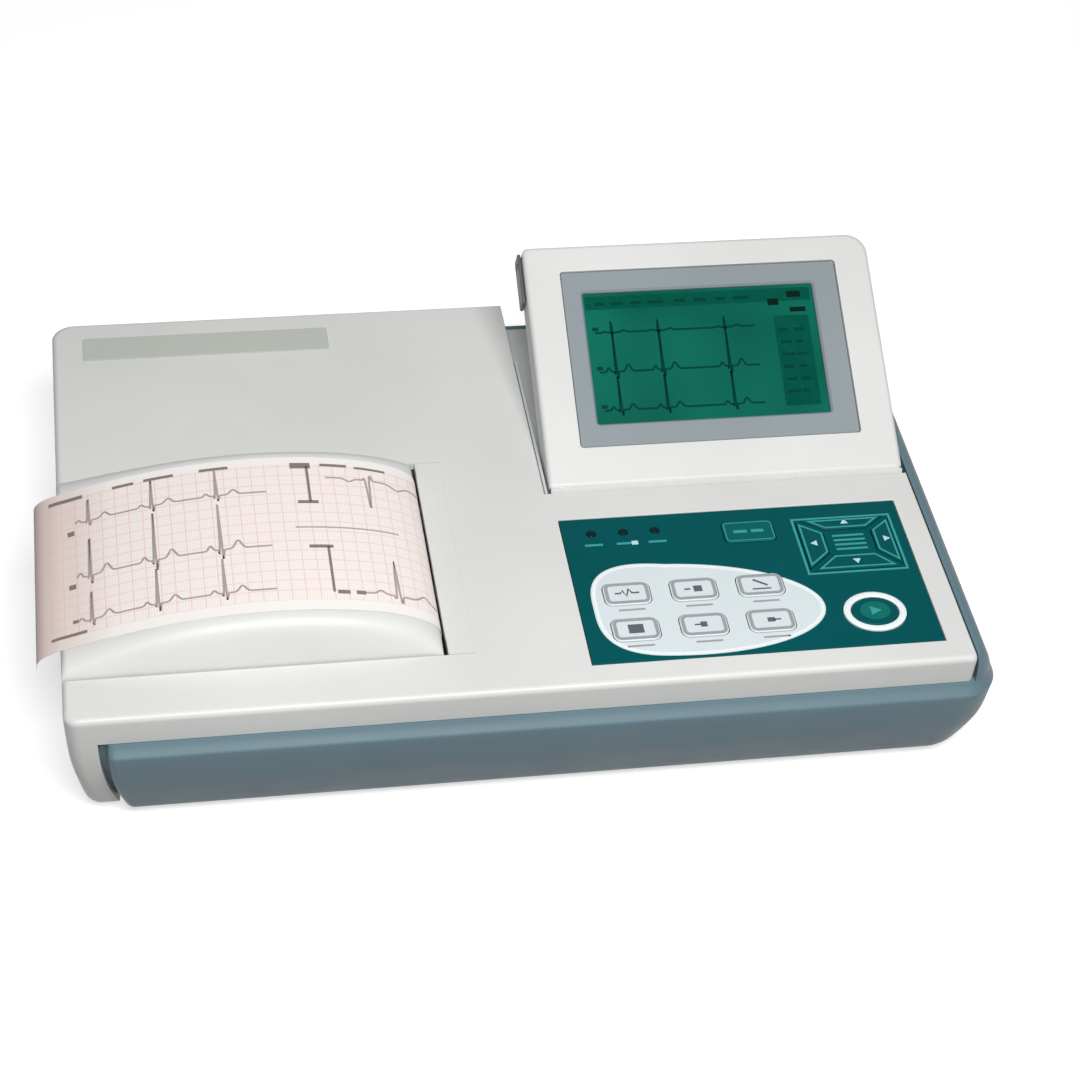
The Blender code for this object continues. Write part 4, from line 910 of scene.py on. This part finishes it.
def keypad():
    spots = [(x, y) for y in KEY_ROWS for x in KEY_COLUMNS]
    white_keys = [centred_rect(spot, KEY_W / 2, KEY_D / 2, 3.0, 8) for spot in spots]
    mode = rounded_rect(*MODE_KEY, 2.0)
    arrows = arrow_keys()
    x0, x1, y0, y1 = KEYPAD
    cuts = holes(white_keys + [mode] + [outline for _, outline, _ in arrows])
    cuts.append(prism(ellipse(*START, START_RADII[0] + GAP, START_RADII[1] + GAP), "Z", -5, 5))
    cuts += [rod("Z", (x, LIGHT_Y), 1.9, -5, 5) for x in LIGHT_XS]
    film = prism([(x0, y0), (x1, y0), (x1, y1), (x0, y1)], "Z", FILM_Z - 1.6, FILM_Z, 0.25)
    solid("keypad_film", film, "teal", stands_for=["keypad_panel"], cut=cuts)

    second_layer = FILM_Z + INK
    solid("keypad_field", ink_spot(egg_outline(), FILM_Z), "film_white", cut=holes(white_keys))
    rim = flat_print((), second_layer, [(grow(egg_outline(), -0.5), 1.2)])
    solid("keypad_egg_rim", rim, "film_bright", cut=holes(white_keys))
    ax0, ax1, ay0, ay1 = ARROW_PAD
    loop = grow([(ax0, ay0), (ax1, ay0), (ax1, ay1), (ax0, ay1)], 0.6)
    pale = [(bar(x - 3.4, LIGHT_LABEL_Y, 6.8), 1.1) for x in LIGHT_XS]
    solid("keypad_print", flat_print(pale, FILM_Z, [(loop, 0.9)]), "ink_teal")
    labels = [(bar(x - 4.4, y - KEY_D / 2 - 2.4, 9.8), 0.9) for x, y in spots]
    solid("keypad_key_labels", flat_print(labels, second_layer), "ink_grey")
    dot = [(bar(LIGHT_XS[1] + 2.2, LIGHT_LABEL_Y, 2.4), 2.0)]
    solid("keypad_bright_dot", flat_print(dot, second_layer), "ink_white")

    for number, ((x, y), outline, symbol) in enumerate(zip(spots, white_keys, KEY_SYMBOLS), 1):
        body = f"key_{number}_body"
        solid(f"white_key_{number}", key_shape(outline, 0.8), "film_white", body, [f"key_{number}"])
        border = flat_print((), KEY_TOP, [(grow(outline, -0.5), 1.3)])
        solid(f"white_key_outline_{number}", border, "ink_grey", body)
        strokes = [([(x + dx, y + dy) for dx, dy in points], width) for points, width in symbol]
        solid(f"white_key_symbol_{number}", flat_print(strokes, KEY_TOP), "ink_dark", body)

    solid("mode_button", key_shape(mode, 0.8), "teal_key", "mode_key_body", ["mode_key"])
    x, y = (MODE_KEY[0] + MODE_KEY[1]) / 2, (MODE_KEY[2] + MODE_KEY[3]) / 2
    dashes = [(bar(x - 6.0, y, 5.2), 1.5), (bar(x + 0.8, y, 4.8), 1.5)]
    mode_print = flat_print(dashes, KEY_TOP, [(grow(mode, -0.5), 0.4)])
    solid("mode_button_print", mode_print, "ink_teal", "mode_key_body")

    for name, outline, (x, y, facing) in arrows:
        solid(name + "_cap", key_shape(outline, 0.5), "teal", name + "_body", [name])
        tip = arc(x, y, 1.7, 1.7, facing, facing + 240, 2)
        solid(name + "_arrow", ink_spot(tip, KEY_TOP), "ink_white", name + "_body")
        border = flat_print((), KEY_TOP, [(grow(outline, -0.5), 0.7)])
        solid(name + "_outline", border, "ink_teal", name + "_body")
    cx0, cx1 = ARROW_CORE[:2]
    core = [(bar(cx0 + 2.2, y, cx1 - cx0 - 4.4), 1.0) for y in (60.2, 62.6, 65.0, 67.4)]
    solid("arrow_core_print", flat_print(core, FILM_Z), "ink_teal")
    start_key()


def start_key():
    """The round start key in its raised ring."""
    def inside(inset):
        return ellipse(*START, START_RADII[0] - inset, START_RADII[1] - inset)

    outer, inner = inside(0), inside(RING_W)
    ring = loft([(-1.7, outer), (0.2, outer), (0.45, grow(outer, -0.35)), (0.6, grow(outer, -0.9)),
                 (0.6, grow(inside(RING_W / 2), 0.3))])
    bore = loft([(-3, inner), (0.2, inner), (0.45, grow(inner, 0.35)), (0.62, grow(inner, 0.8)),
                 (3, grow(inner, 0.8))])
    solid("start_ring", ring, "film_bright", stands_for=["start_key_ring"], cut=[bore])
    solid("start_button", key_shape(grow(inner, -GAP), 0.8), "teal", "start_key_body", ["start_key"])
    solid("start_button_disc", ink_spot(ellipse(*START, 5.6, 4.6), KEY_TOP), "green", "start_key_body")
    x, y = START
    play = [(x - 1.6, y - 2.2), (x + 2.4, y), (x - 1.6, y + 2.2)]
    solid("start_button_print", ink_spot(play, KEY_TOP + CLEAR + INK), "ink_teal", "start_key_body")


def nameplate():
    outline = rounded_rect(12.5, 109.0, 192.5, 206.0, 1.0, 6)
    solid("label_plate", prism(outline, "Z", 0.1, 0.45, 0.12), "label", stands_for=["nameplate"])


# ---------------- paper door and paper
def vault(x, rise=0.0):
    """The door's height at x: a long arc up to the crown, then a quarter ellipse down to the slot."""
    if x <= DOOR_CROWN_X:
        return DOOR_CROWN_Z + rise - (DOOR_CROWN_X - x) ** 2 / (2 * DOOR_ARC_R)
    reach = min(1.0, (x - DOOR_CROWN_X) / (DOOR_X1 + rise - DOOR_CROWN_X))
    return (DOOR_CROWN_Z + rise) * math.sqrt(1 - reach * reach)


def vault_profile(rise):
    """Points (x, z) over the door from its left skirt to its right edge, raised off it by rise."""
    x0 = DOOR_X0 - rise
    corner = 3.0
    top = vault(DOOR_X0 + corner, rise)
    points = [(x0 + 0.25, -8.2), (x0, top - corner)]
    points += arc(x0 + corner, top - corner, corner, corner, 162, 108, 3)
    first = x0 + corner + 0.6
    steps = 30
    for i in range(steps):
        x = first + (DOOR_CROWN_X - first) * i / steps
        points.append((x, vault(x, rise)))
    span = DOOR_X1 + rise - DOOR_CROWN_X
    for degrees in [*range(90, 5, -4), 3]:
        angle = math.radians(degrees)
        points.append((DOOR_CROWN_X + span * math.cos(angle), (DOOR_CROWN_Z + rise) * math.sin(angle)))
    return points + [(DOOR_X1 + rise, -0.2), (DOOR_X1 + rise, -2.8)]


def door_grid(rise):
    """The domed surface as rows of points: the vault rolls off in a quarter ellipse at both ends."""
    y0 = DOOR_Y0 - rise
    y1 = DOOR_Y1 + rise
    stations = [(y0, 0.0)]
    for degrees in range(6, 91, 7):
        angle = math.radians(degrees)
        stations.append((y0 + DOOR_END_ROLL * (1 - math.cos(angle)), math.sin(angle)))
    stations += [(y1 + y0 - y, share) for y, share in reversed(stations)]
    base = -0.6
    rows = []
    for y, share in stations:
        rows.append([(x, y, z if z < base else base + (z - base) * max(share, 0.02))
                     for x, z in vault_profile(rise)])
    front, rear = ([(x, y, min(z, -2.8)) for x, y, z in row] for row in (rows[0], rows[-1]))
    return [front] + rows + [rear]


def close_skins(bm, upper, lower):
    """Joins two grids of vertices, one over the other, into a closed shell."""
    rows = len(upper)
    columns = len(upper[0])
    for a in range(rows - 1):
        for b in range(columns - 1):
            bm.faces.new((upper[a][b], upper[a][b + 1], upper[a + 1][b + 1], upper[a + 1][b]))
            bm.faces.new((lower[a + 1][b], lower[a + 1][b + 1], lower[a][b + 1], lower[a][b]))
    edge = [(0, b) for b in range(columns)] + [(a, columns - 1) for a in range(1, rows)]
    edge += [(rows - 1, b) for b in range(columns - 2, -1, -1)] + [(a, 0) for a in range(rows - 2, 0, -1)]
    for (a, b), (c, d) in zip(edge, edge[1:] + edge[:1]):
        bm.faces.new((upper[c][d], upper[a][b], lower[a][b], lower[c][d]))


def door_skin():
    """A closed shell between the outer dome and one a skin's thickness inside it."""
    bm = bmesh.new()
    outer, inner = ([[bm.verts.new(p) for p in row] for row in door_grid(rise)] for rise in (0.0, -DOOR_SKIN))
    close_skins(bm, outer, inner)
    bmesh.ops.remove_doubles(bm, verts=bm.verts, dist=0.0015)
    return bm


def paper_door():
    barrel = rod("Y", DOOR_PIN, 2.6, DOOR_Y0 + 1.2, DOOR_Y1 - 1.2)
    rib = [(121.0, -11.5), (131.0, -11.5), (131.0, 1.0), (121.0, 7.2)]
    adds = [barrel, prism(rib, "Y", 24.8, 27.3), prism(rib, "Y", 112.2, 114.9)]
    cuts = [rod("Y", DOOR_PIN, 1.5, 0, 200), rod("Y", PLATEN, 1.8, 22, 116)]
    solid("door_dome", door_skin(), "white", "door", ["paper_door"], add=adds, cut=cuts, sharp=50)


OVERHANG = ((-7.85, -4.0), (-7.75, -2.2), (-7.2, -0.5), (-5.2, 1.6), (-2.4, 3.1), (0.6, 4.35))


class Sheet:
    """The paper's path over the door, measured along the sheet from its free left end."""

    def __init__(self, rise):
        over = [(x, z) for x, z in vault_profile(rise) if x > 3.0 and z > -0.3]
        into_slot = [(DOOR_X1 + rise, -3.0), (DOOR_X1 + rise, -6.5)]
        self.path = [Vector(p) for p in soft_rows(OVERHANG + tuple(over[:1]), 4)[:-1] + over + into_slot]
        self.reach = [0.0]
        for a, b in zip(self.path, self.path[1:]):
            self.reach.append(self.reach[-1] + (b - a).length)
        self.length = self.reach[-1]

    def point(self, along, across, lift):
        """The point at a distance along the sheet and across it, a lift above its lower face."""
        along = min(max(along, 0.0), self.length)
        i = max(1, bisect.bisect_left(self.reach, along))
        a, b = self.path[i - 1], self.path[i]
        share = (along - self.reach[i - 1]) / (self.reach[i] - self.reach[i - 1])
        here = a.lerp(b, share)
        middle = (b - a).normalized()
        before = (a - self.path[max(i - 2, 0)]).normalized() if i > 1 else middle
        after = (self.path[min(i + 1, len(self.path) - 1)] - b).normalized() or middle
        way = (before + middle).normalized().lerp((middle + after).normalized(), share).normalized()
        return here.x - way.y * lift, PAPER_Y0 + across, here.y + way.x * lift


def paper():
    """The printed strip, torn at its free end."""
    sheet = Sheet(0.22)
    columns, steps = 80, 150
    bm = bmesh.new()
    marks = bm.verts.layers.float_vector.new("sheet")
    skins = []
    for lift in (0.0, PAPER_THICK):
        rows = []
        for step in range(steps + 1):
            along = sheet.length * step / steps
            row = []
            for column in range(columns + 1):
                across = (PAPER_Y1 - PAPER_Y0) * column / columns
                torn_in = 0.9 if column % 2 and not step else 0.0
                row.append(bm.verts.new(sheet.point(along + torn_in, across, lift)))
                row[-1][marks] = (along, across, 0.0)
            rows.append(row)
        skins.append(rows)
    close_skins(bm, *reversed(skins))
    traces, notes = chart_marks(sheet)
    pieces = [solid("chart_strip", bm, "paper", None, ["paper_strip"]),
              solid("chart_traces", traces, "ink_trace", None), solid("chart_notes", notes, "ink_note", None)]
    for piece in pieces:
        piece.modifiers.clear()
        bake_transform(piece)


def chart_marks(sheet):
    """The strip's printing: traces in two groups, then darker calibration steps and bars of small print."""
    def printer(lift):
        bm = bmesh.new()

        def draw(points, width):
            stroke(bm, points, width, lambda x, y, up: sheet.point(x, y, PAPER_THICK + lift + up))
        return bm, draw

    traces, draw = printer(0.01)
    right = sheet.length - 9.0
    for start, end, base, period, height, shift in (
            (20.0, 90.0, 61.5, 23.5, 15.0, 16.5), (20.0, 90.0, 33.0, 23.5, 25.0, 16.5),
            (20.0, 90.0, 11.0, 23.5, 18.0, 16.5), (112.0, right, 69.0, 44.0, -15.0, 112.0),
            (118.6, right, 9.0, 40.0, 18.0, 118.6)):
        draw(trace(start, end, base, period, height, shift, 0.3), 0.8)
    draw([(99.0 + 2.0 * step, 42.0) for step in range(20)], 0.7)

    notes, draw = printer(0.02)
    for along, across, length, tall in (
            (10.0, 75.4, 13.0, 1.8), (34.3, 75.6, 8.0, 1.4), (46.0, 75.8, 11.0, 1.4),
            (66.4, 76.0, 10.6, 1.4), (99.5, 75.2, 7.5, 3.0), (110.6, 75.8, 10.0, 1.4),
            (123.4, 75.4, 12.0, 1.2), (10.0, 6.0, 13.0, 1.4), (17.0, 57.0, 2.6, 2.4), (17.0, 29.5, 2.6, 2.4),
            (18.0, 12.0, 2.0, 1.6), (101.0, 55.5, 7.5, 1.6), (103.0, 32.0, 8.6, 1.6), (111.0, 8.8, 4.4, 1.8),
            (117.6, 8.8, 3.4, 1.8)):
        draw([(along + length * step / 4, across) for step in range(5)], tall)
    for along, top, bottom in ((105.6, 75.0, 55.5), (109.8, 32.0, 8.8)):
        draw([(along, top), (along, bottom)], 1.0)
    return traces, notes


def tear_bar():
    """The bar beside the paper slot, with a fine row of teeth along its tearing edge."""
    close_x = TEAR_BAR_X1 + GAP - 0.02
    lip_x = SLOT_X1 - 1.1
    section = [(lip_x, -3.6), (close_x, -3.6), (close_x, 0.0), (lip_x + 1.0, 0.1), (lip_x + 0.5, 0.3),
               (lip_x, 0.05)]
    solid("tear_edge", prism(section, "Y", DOOR_Y0 - 0.5, DOOR_Y1 + 0.5), "white", stands_for=["tear_bar"])
    start = PAPER_Y0 - 3
    count = int(PAPER_Y1 - PAPER_Y0 + 6)
    teeth = [(lip_x + 0.7, start), (lip_x + 0.1, start)]
    for tooth in range(count):
        teeth += [(lip_x - 0.3, start + tooth + 0.5), (lip_x + 0.1, start + tooth + 1)]
    teeth.append((lip_x + 0.7, start + count))
    solid("tear_teeth", prism(teeth[::-1], "Z", 0.02, 0.3), "white")


# ---------------- inside the paper compartment
def paper_path():
    solid("platen_sleeve", ring_prism(ellipse(*PLATEN, PLATEN_R, PLATEN_R), ellipse(*PLATEN, 1.8, 1.8), "Y",
                                      PAPER_Y0 - 1.9, PAPER_Y1 + 1.9), "rubber", "platen", ["platen_roller"])
    solid("wound_roll", ring_prism(ellipse(*ROLL, ROLL_R, ROLL_R, 96), ellipse(*ROLL, 6.0, 6.0, 96), "Y",
                                   PAPER_Y0, PAPER_Y1), "roll", "roll", ["paper_roll"])
    axle = rod("Y", ROLL, 4.3, 25.6, 114.2)
    core = rod("Y", ROLL, 5.7, PAPER_Y0, PAPER_Y1)
    solid("roll_axle", axle, "tray", "roll", ["roll_spindle"], add=[core], bevel=0.2)


# ---------------- sockets
def d_prism(axis, centre, half_w, half_h, taper, start, end):
    x, z = centre
    return prism([(x - half_w + taper, z - half_h), (x + half_w - taper, z - half_h),
                  (x + half_w, z + half_h), (x - half_w, z + half_h)], axis, start, end)


def d_socket(names, look, axis, centre, plate, shell, mouth, insert, contacts, posts):
    """A D connector: a plate with a hollow shell, an insert with two rows of contacts, and two hexagon posts.

    names are for the shell, insert, posts and CAD node. shell, mouth and insert go to d_prism, contacts are a
    radius, start and end with the rows' heights and counts, and posts are an offset, start, end and bore."""
    shell_name, insert_name, post_name, node_name = names
    solid(shell_name, plate, look, stands_for=[node_name], add=[d_prism(axis, centre, *shell)],
          cut=[d_prism(axis, centre, *mouth)])
    radius, low, high, rows = contacts
    wells = [rod(axis, (centre[0] + (i - (count - 1) / 2) * 2.7, centre[1] + up), radius, low, high, 16)
             for up, count in rows for i in range(count)]
    solid(insert_name, d_prism(axis, centre, *insert), "black", cut=wells)
    offset, low, high, bore_low, bore_high = posts
    for number, side in enumerate((-1, 1), 1):
        spot = (centre[0] + side * offset, centre[1])
        solid(f"{post_name}_{number}", prism(ellipse(*spot, 2.4, 2.4, 6), axis, low, high, 0.25), "steel",
              cut=[rod(axis, spot, 1.2, bore_low, bore_high)])


def rear_sockets():
    """The rear panel with the mains inlet, rocker, fuse holder, earth post and data socket."""
    x0, x1, z0, z1 = REAR_PANEL
    inlet_x, rocker_x, fuse_x, earth_x, data_x = 134.0, 106.0, 87.0, 71.0, 46.0
    y0 = REAR_Y - 2.0
    through = (y0 - 5, REAR_Y + 5)

    def block(x, half_w, half_h, start, end):
        return box(x - half_w, x + half_w, start, end, REAR_Z - half_h, REAR_Z + half_h)

    def disc(x, radius, start, end, soft, steps=64):
        return prism(ellipse(x, REAR_Z, radius, radius, steps), "Y", start, end, soft)

    cuts = [block(inlet_x, 14, 10.5, *through), block(rocker_x, 9.7, 6.6, *through),
            rod("Y", (fuse_x, REAR_Z), 6.3, *through), rod("Y", (earth_x, REAR_Z), 2.3, *through),
            d_prism("Y", (data_x, REAR_Z), 9.2, 5.2, 1.4, *through)]
    solid("rear_plate", prism(rounded_rect(x0, x1, z0, z1, 0.6, 4), "Y", y0, REAR_Y, 0.25), "black",
          stands_for=["rear_panel"], cut=cuts)
    screws = ((31.5, z0 + 4), (31.5, z1 - 4), (148.5, z0 + 3.2), (148.5, z1 - 3.2))
    for number, (x, z) in enumerate(screws, 1):
        cross = [box(x - a, x + a, REAR_Y + 0.3, REAR_Y + 3, z - b, z + b)
                 for a, b in ((1.2, 0.22), (0.22, 1.2))]
        head = rod("Y", (x, z), 1.9, REAR_Y, REAR_Y + 0.9)
        solid(f"panel_screw_{number}", head, "steel", cut=cross, bevel=0.15)

    rim = prism(centred_rect((inlet_x, REAR_Z), 15.6, 12.0, 2.0, 8), "Y", REAR_Y + GAP, REAR_Y + 2.2, 0.3)
    left, right, low, high, chamfer = inlet_x - 12.0, inlet_x + 12.0, REAR_Z - 8.2, REAR_Z + 8.2, 4.0
    mouth = [(left, low), (right, low), (right, high - chamfer), (right - chamfer, high),
             (left + chamfer, high), (left, high - chamfer)]
    solid("inlet_housing", block(inlet_x, 13.6, 10.1, y0 - 14, REAR_Y + 1.0), "black",
          stands_for=["mains_inlet"], add=[rim], cut=[prism(mouth, "Y", y0 - 12, REAR_Y + 5)])
    for number, (dx, dz) in enumerate(((-7.0, -1.5), (0.0, 2.5), (7.0, -1.5)), 1):
        pin = prism(centred_rect((inlet_x + dx, REAR_Z + dz), 1.0, 2, 0.4), "Y", y0 - 12.5, REAR_Y - 4, 0.3)
        solid(f"inlet_pin_{number}", pin, "steel")

    rocker = [(rocker_x + across, REAR_Y + out) for across, out in
              ((-8.6, -4.5), (8.6, -4.5), (8.6, -0.1), (0.0, 0.7), (-8.6, 3.7))]
    solid("rocker_cap", prism(rocker, "Z", REAR_Z - 6.0, REAR_Z + 6.0), "black", "rocker", ["power_rocker"],
          bevel=0.4)
    bezel = [centred_rect((rocker_x, REAR_Z), *sizes) for sizes in ((11.4, 8.4, 1.0), (9.5, 6.4, 0.5))]
    solid("rocker_bezel", ring_prism(*bezel, "Y", REAR_Y + 0.02, REAR_Y + 1.0), "black", bevel=0.2)

    solid("fuse_cap", rod("Y", (fuse_x, REAR_Z), 5.9, y0 - 16, REAR_Y + 0.5), "black",
          stands_for=["fuse_holder"], add=[disc(fuse_x, 7.0, REAR_Y + GAP, REAR_Y + 3.6, 0.5)],
          cut=[block(fuse_x, 5, 0.8, REAR_Y + 2.6, REAR_Y + 6)])
    solid("earth_stud", disc(earth_x, 2.0, y0 - 6, REAR_Y + 6.0, 0.4), "steel", stands_for=["earth_post"],
          add=[disc(earth_x, 4.6, REAR_Y + GAP, REAR_Y + 2.6, 0.3, 6)])
    face = REAR_Y + GAP
    centre = (data_x, REAR_Z)
    plate = prism(centred_rect(centre, 14.8, 6.2, 1.0), "Y", face, face + 1.2, 0.2)
    d_socket(("serial_socket", "serial_socket_insert", "serial_socket_post", "data_socket"),
             "steel", "Y", centre, plate,
             (8.8, 4.6, 1.4, face - 8.0, face + 5.0), (8.0, 3.8, 1.4, face - 0.5, face + 9.0),
             (7.8, 3.6, 1.4, face - 0.4, face + 3.6), (0.5, face + 1, face + 6, ((1.4, 5), (-1.4, 4))),
             (12.2, face + 1.22, face + 4.6, face + 2.0, face + 9))


def patient_socket():
    y0, y1, z0, z1 = SIDE_PANEL
    plate = prism(rounded_rect(y0, y1, z0, z1, 1.2, 4), "X", 326.0, 328.0, 0.25)
    d_socket(("patient_plate", "patient_socket_insert", "patient_lock", "patient_socket"),
             "dark", "X", ((y0 + y1) / 2, (z0 + z1) / 2), plate,
             (20.0, 7.0, 2.0, 317.5, 333.5), (18.8, 5.8, 2.0, 324.5, 340.5), (18.4, 5.4, 2.0, 324.6, 328.1),
             (0.55, 325.5, 335.5, ((1.5, 8), (-1.5, 7))), (23.0, 328.02, 332.0, 329.0, 335.5))


# ---------------- CAD nodes that stay
KEPT = {  # the nodes that take each look
    "tray": ("display_tray", "paper_tub"), "lcd": ("lcd_module",), "lens": ("light_pipe",),
    "roll": ("paper_web",),
    "steel": ("platen_shaft", "motor_pinion", "stepper_motor", "head_bracket", "head_spring",
              "door_hinge_pin", "hinge_pin_left", "hinge_pin_right"),
    "acetal": ("platen_gear", "idler_gear"), "aluminium": ("printer_chassis", "print_head"),
    "circuit": ("main_board", "power_board", "keypad_board"), "battery": ("battery_pack",),
}


def soft_edge_group():
    """Joins a CAD mesh's split facets and shades its gentle edges smooth."""
    group = bpy.data.node_groups.new("join_and_smooth", "GeometryNodeTree")
    for way in ("INPUT", "OUTPUT"):
        group.interface.new_socket("Geometry", in_out=way, socket_type="NodeSocketGeometry")
    start, merge, faces, edges, end, angle, sharp = (group.nodes.new(kind) for kind in (
        "NodeGroupInput", "GeometryNodeMergeByDistance", "GeometryNodeSetShadeSmooth",
        "GeometryNodeSetShadeSmooth", "NodeGroupOutput", "GeometryNodeInputMeshEdgeAngle",
        "FunctionNodeCompare"))
    merge.inputs["Distance"].default_value = 0.002 * MM
    edges.domain = "EDGE"
    edges.inputs["Shade Smooth"].default_value = False
    sharp.inputs["B"].default_value = math.radians(35)
    group.links.new(angle.outputs["Unsigned Angle"], sharp.inputs["A"])
    group.links.new(sharp.outputs["Result"], edges.inputs["Selection"])
    for one, two in ((start, merge), (merge, faces), (faces, edges), (edges, end)):
        group.links.new(one.outputs["Geometry"], two.inputs["Geometry"])
    return group


def kept_nodes():
    group = soft_edge_group()
    for name, look in [(name, look) for look, names in KEPT.items() for name in names]:
        made = frame["nodes"][name]
        dress(made, look)
        change = made.modifiers.new("join_and_smooth", "NODES")
        change.node_group = group
        flat = made.modifiers.new("flat", "DECIMATE")
        flat.decimate_type = "DISSOLVE"
        flat.angle_limit = math.radians(0.5)
        ease_edges(made, 0.2, 40)


# ---------------- floor, light and camera
def stage():
    bm = bmesh.new()
    bmesh.ops.create_grid(bm, x_segments=1, y_segments=1, size=20.0)
    mesh = bpy.data.meshes.new("floor")
    bm.to_mesh(mesh)
    bm.free()
    floor = add_object("floor", mesh)
    pale = Finish("floor", tint(214, 214, 214), 0.75, Emission_Color=(1.0,) * 4, Emission_Strength=0.62)
    floor.data.materials.append(pale.material)
    floor.visible_diffuse = False


def area_light(name, where, toward, size, power, glossy=True):
    data = bpy.data.lights.new(name, "AREA")
    data.shape = "RECTANGLE"
    data.size, data.size_y = size
    data.energy = power
    made = add_object(name, data)
    made.location = where
    made.visible_glossy = glossy
    made.rotation_euler = (Vector(toward) - Vector(where)).to_track_quat("-Z", "Y").to_euler()


def lights():
    world = bpy.data.worlds.new("studio")
    world.use_nodes = True
    background = world.node_tree.nodes["Background"].inputs
    background["Color"].default_value = (1.0,) * 4
    background["Strength"].default_value = 0.1
    bpy.context.scene.world = world
    area_light("key", (0.02, -0.62, 0.96), (0, 0, 0.03), (0.6, 0.4), 12.2)
    area_light("rear_fill", (0.5, 1.3, 0.9), (0, 0.1, 0.03), (0.9, 0.5), 3.0, glossy=False)


def camera():
    azimuth, down, roll = (math.radians(d) for d in (12.280, 42.955, 4.859))
    ahead = Vector((math.sin(azimuth), math.cos(azimuth), 0.0))
    level = Vector((math.cos(azimuth), -math.sin(azimuth), 0.0))
    forward = ahead * math.cos(down) - Vector((0.0, 0.0, math.sin(down)))
    upright = level.cross(forward)
    right = level * math.cos(roll) + upright * math.sin(roll)
    up = upright * math.cos(roll) - level * math.sin(roll)
    data = bpy.data.cameras.new("camera")
    data.lens = 84.23
    data.sensor_width = 36.0
    made = add_object("camera", data)
    turn = Matrix((right, up, -forward)).transposed().to_4x4()
    made.matrix_world = Matrix.Translation((-0.1323, -0.6995, 0.69092)) @ turn
    bpy.context.scene.camera = made


def main():
    bpy.context.scene.view_settings.view_transform = "Standard"
    camera()
    top_cover()
    bottom_cover()
    feet()
    battery_cover()
    display()
    keypad()
    nameplate()
    paper_door()
    paper()
    tear_bar()
    paper_path()
    rear_sockets()
    patient_socket()
    kept_nodes()
    stage()
    lights()


main()
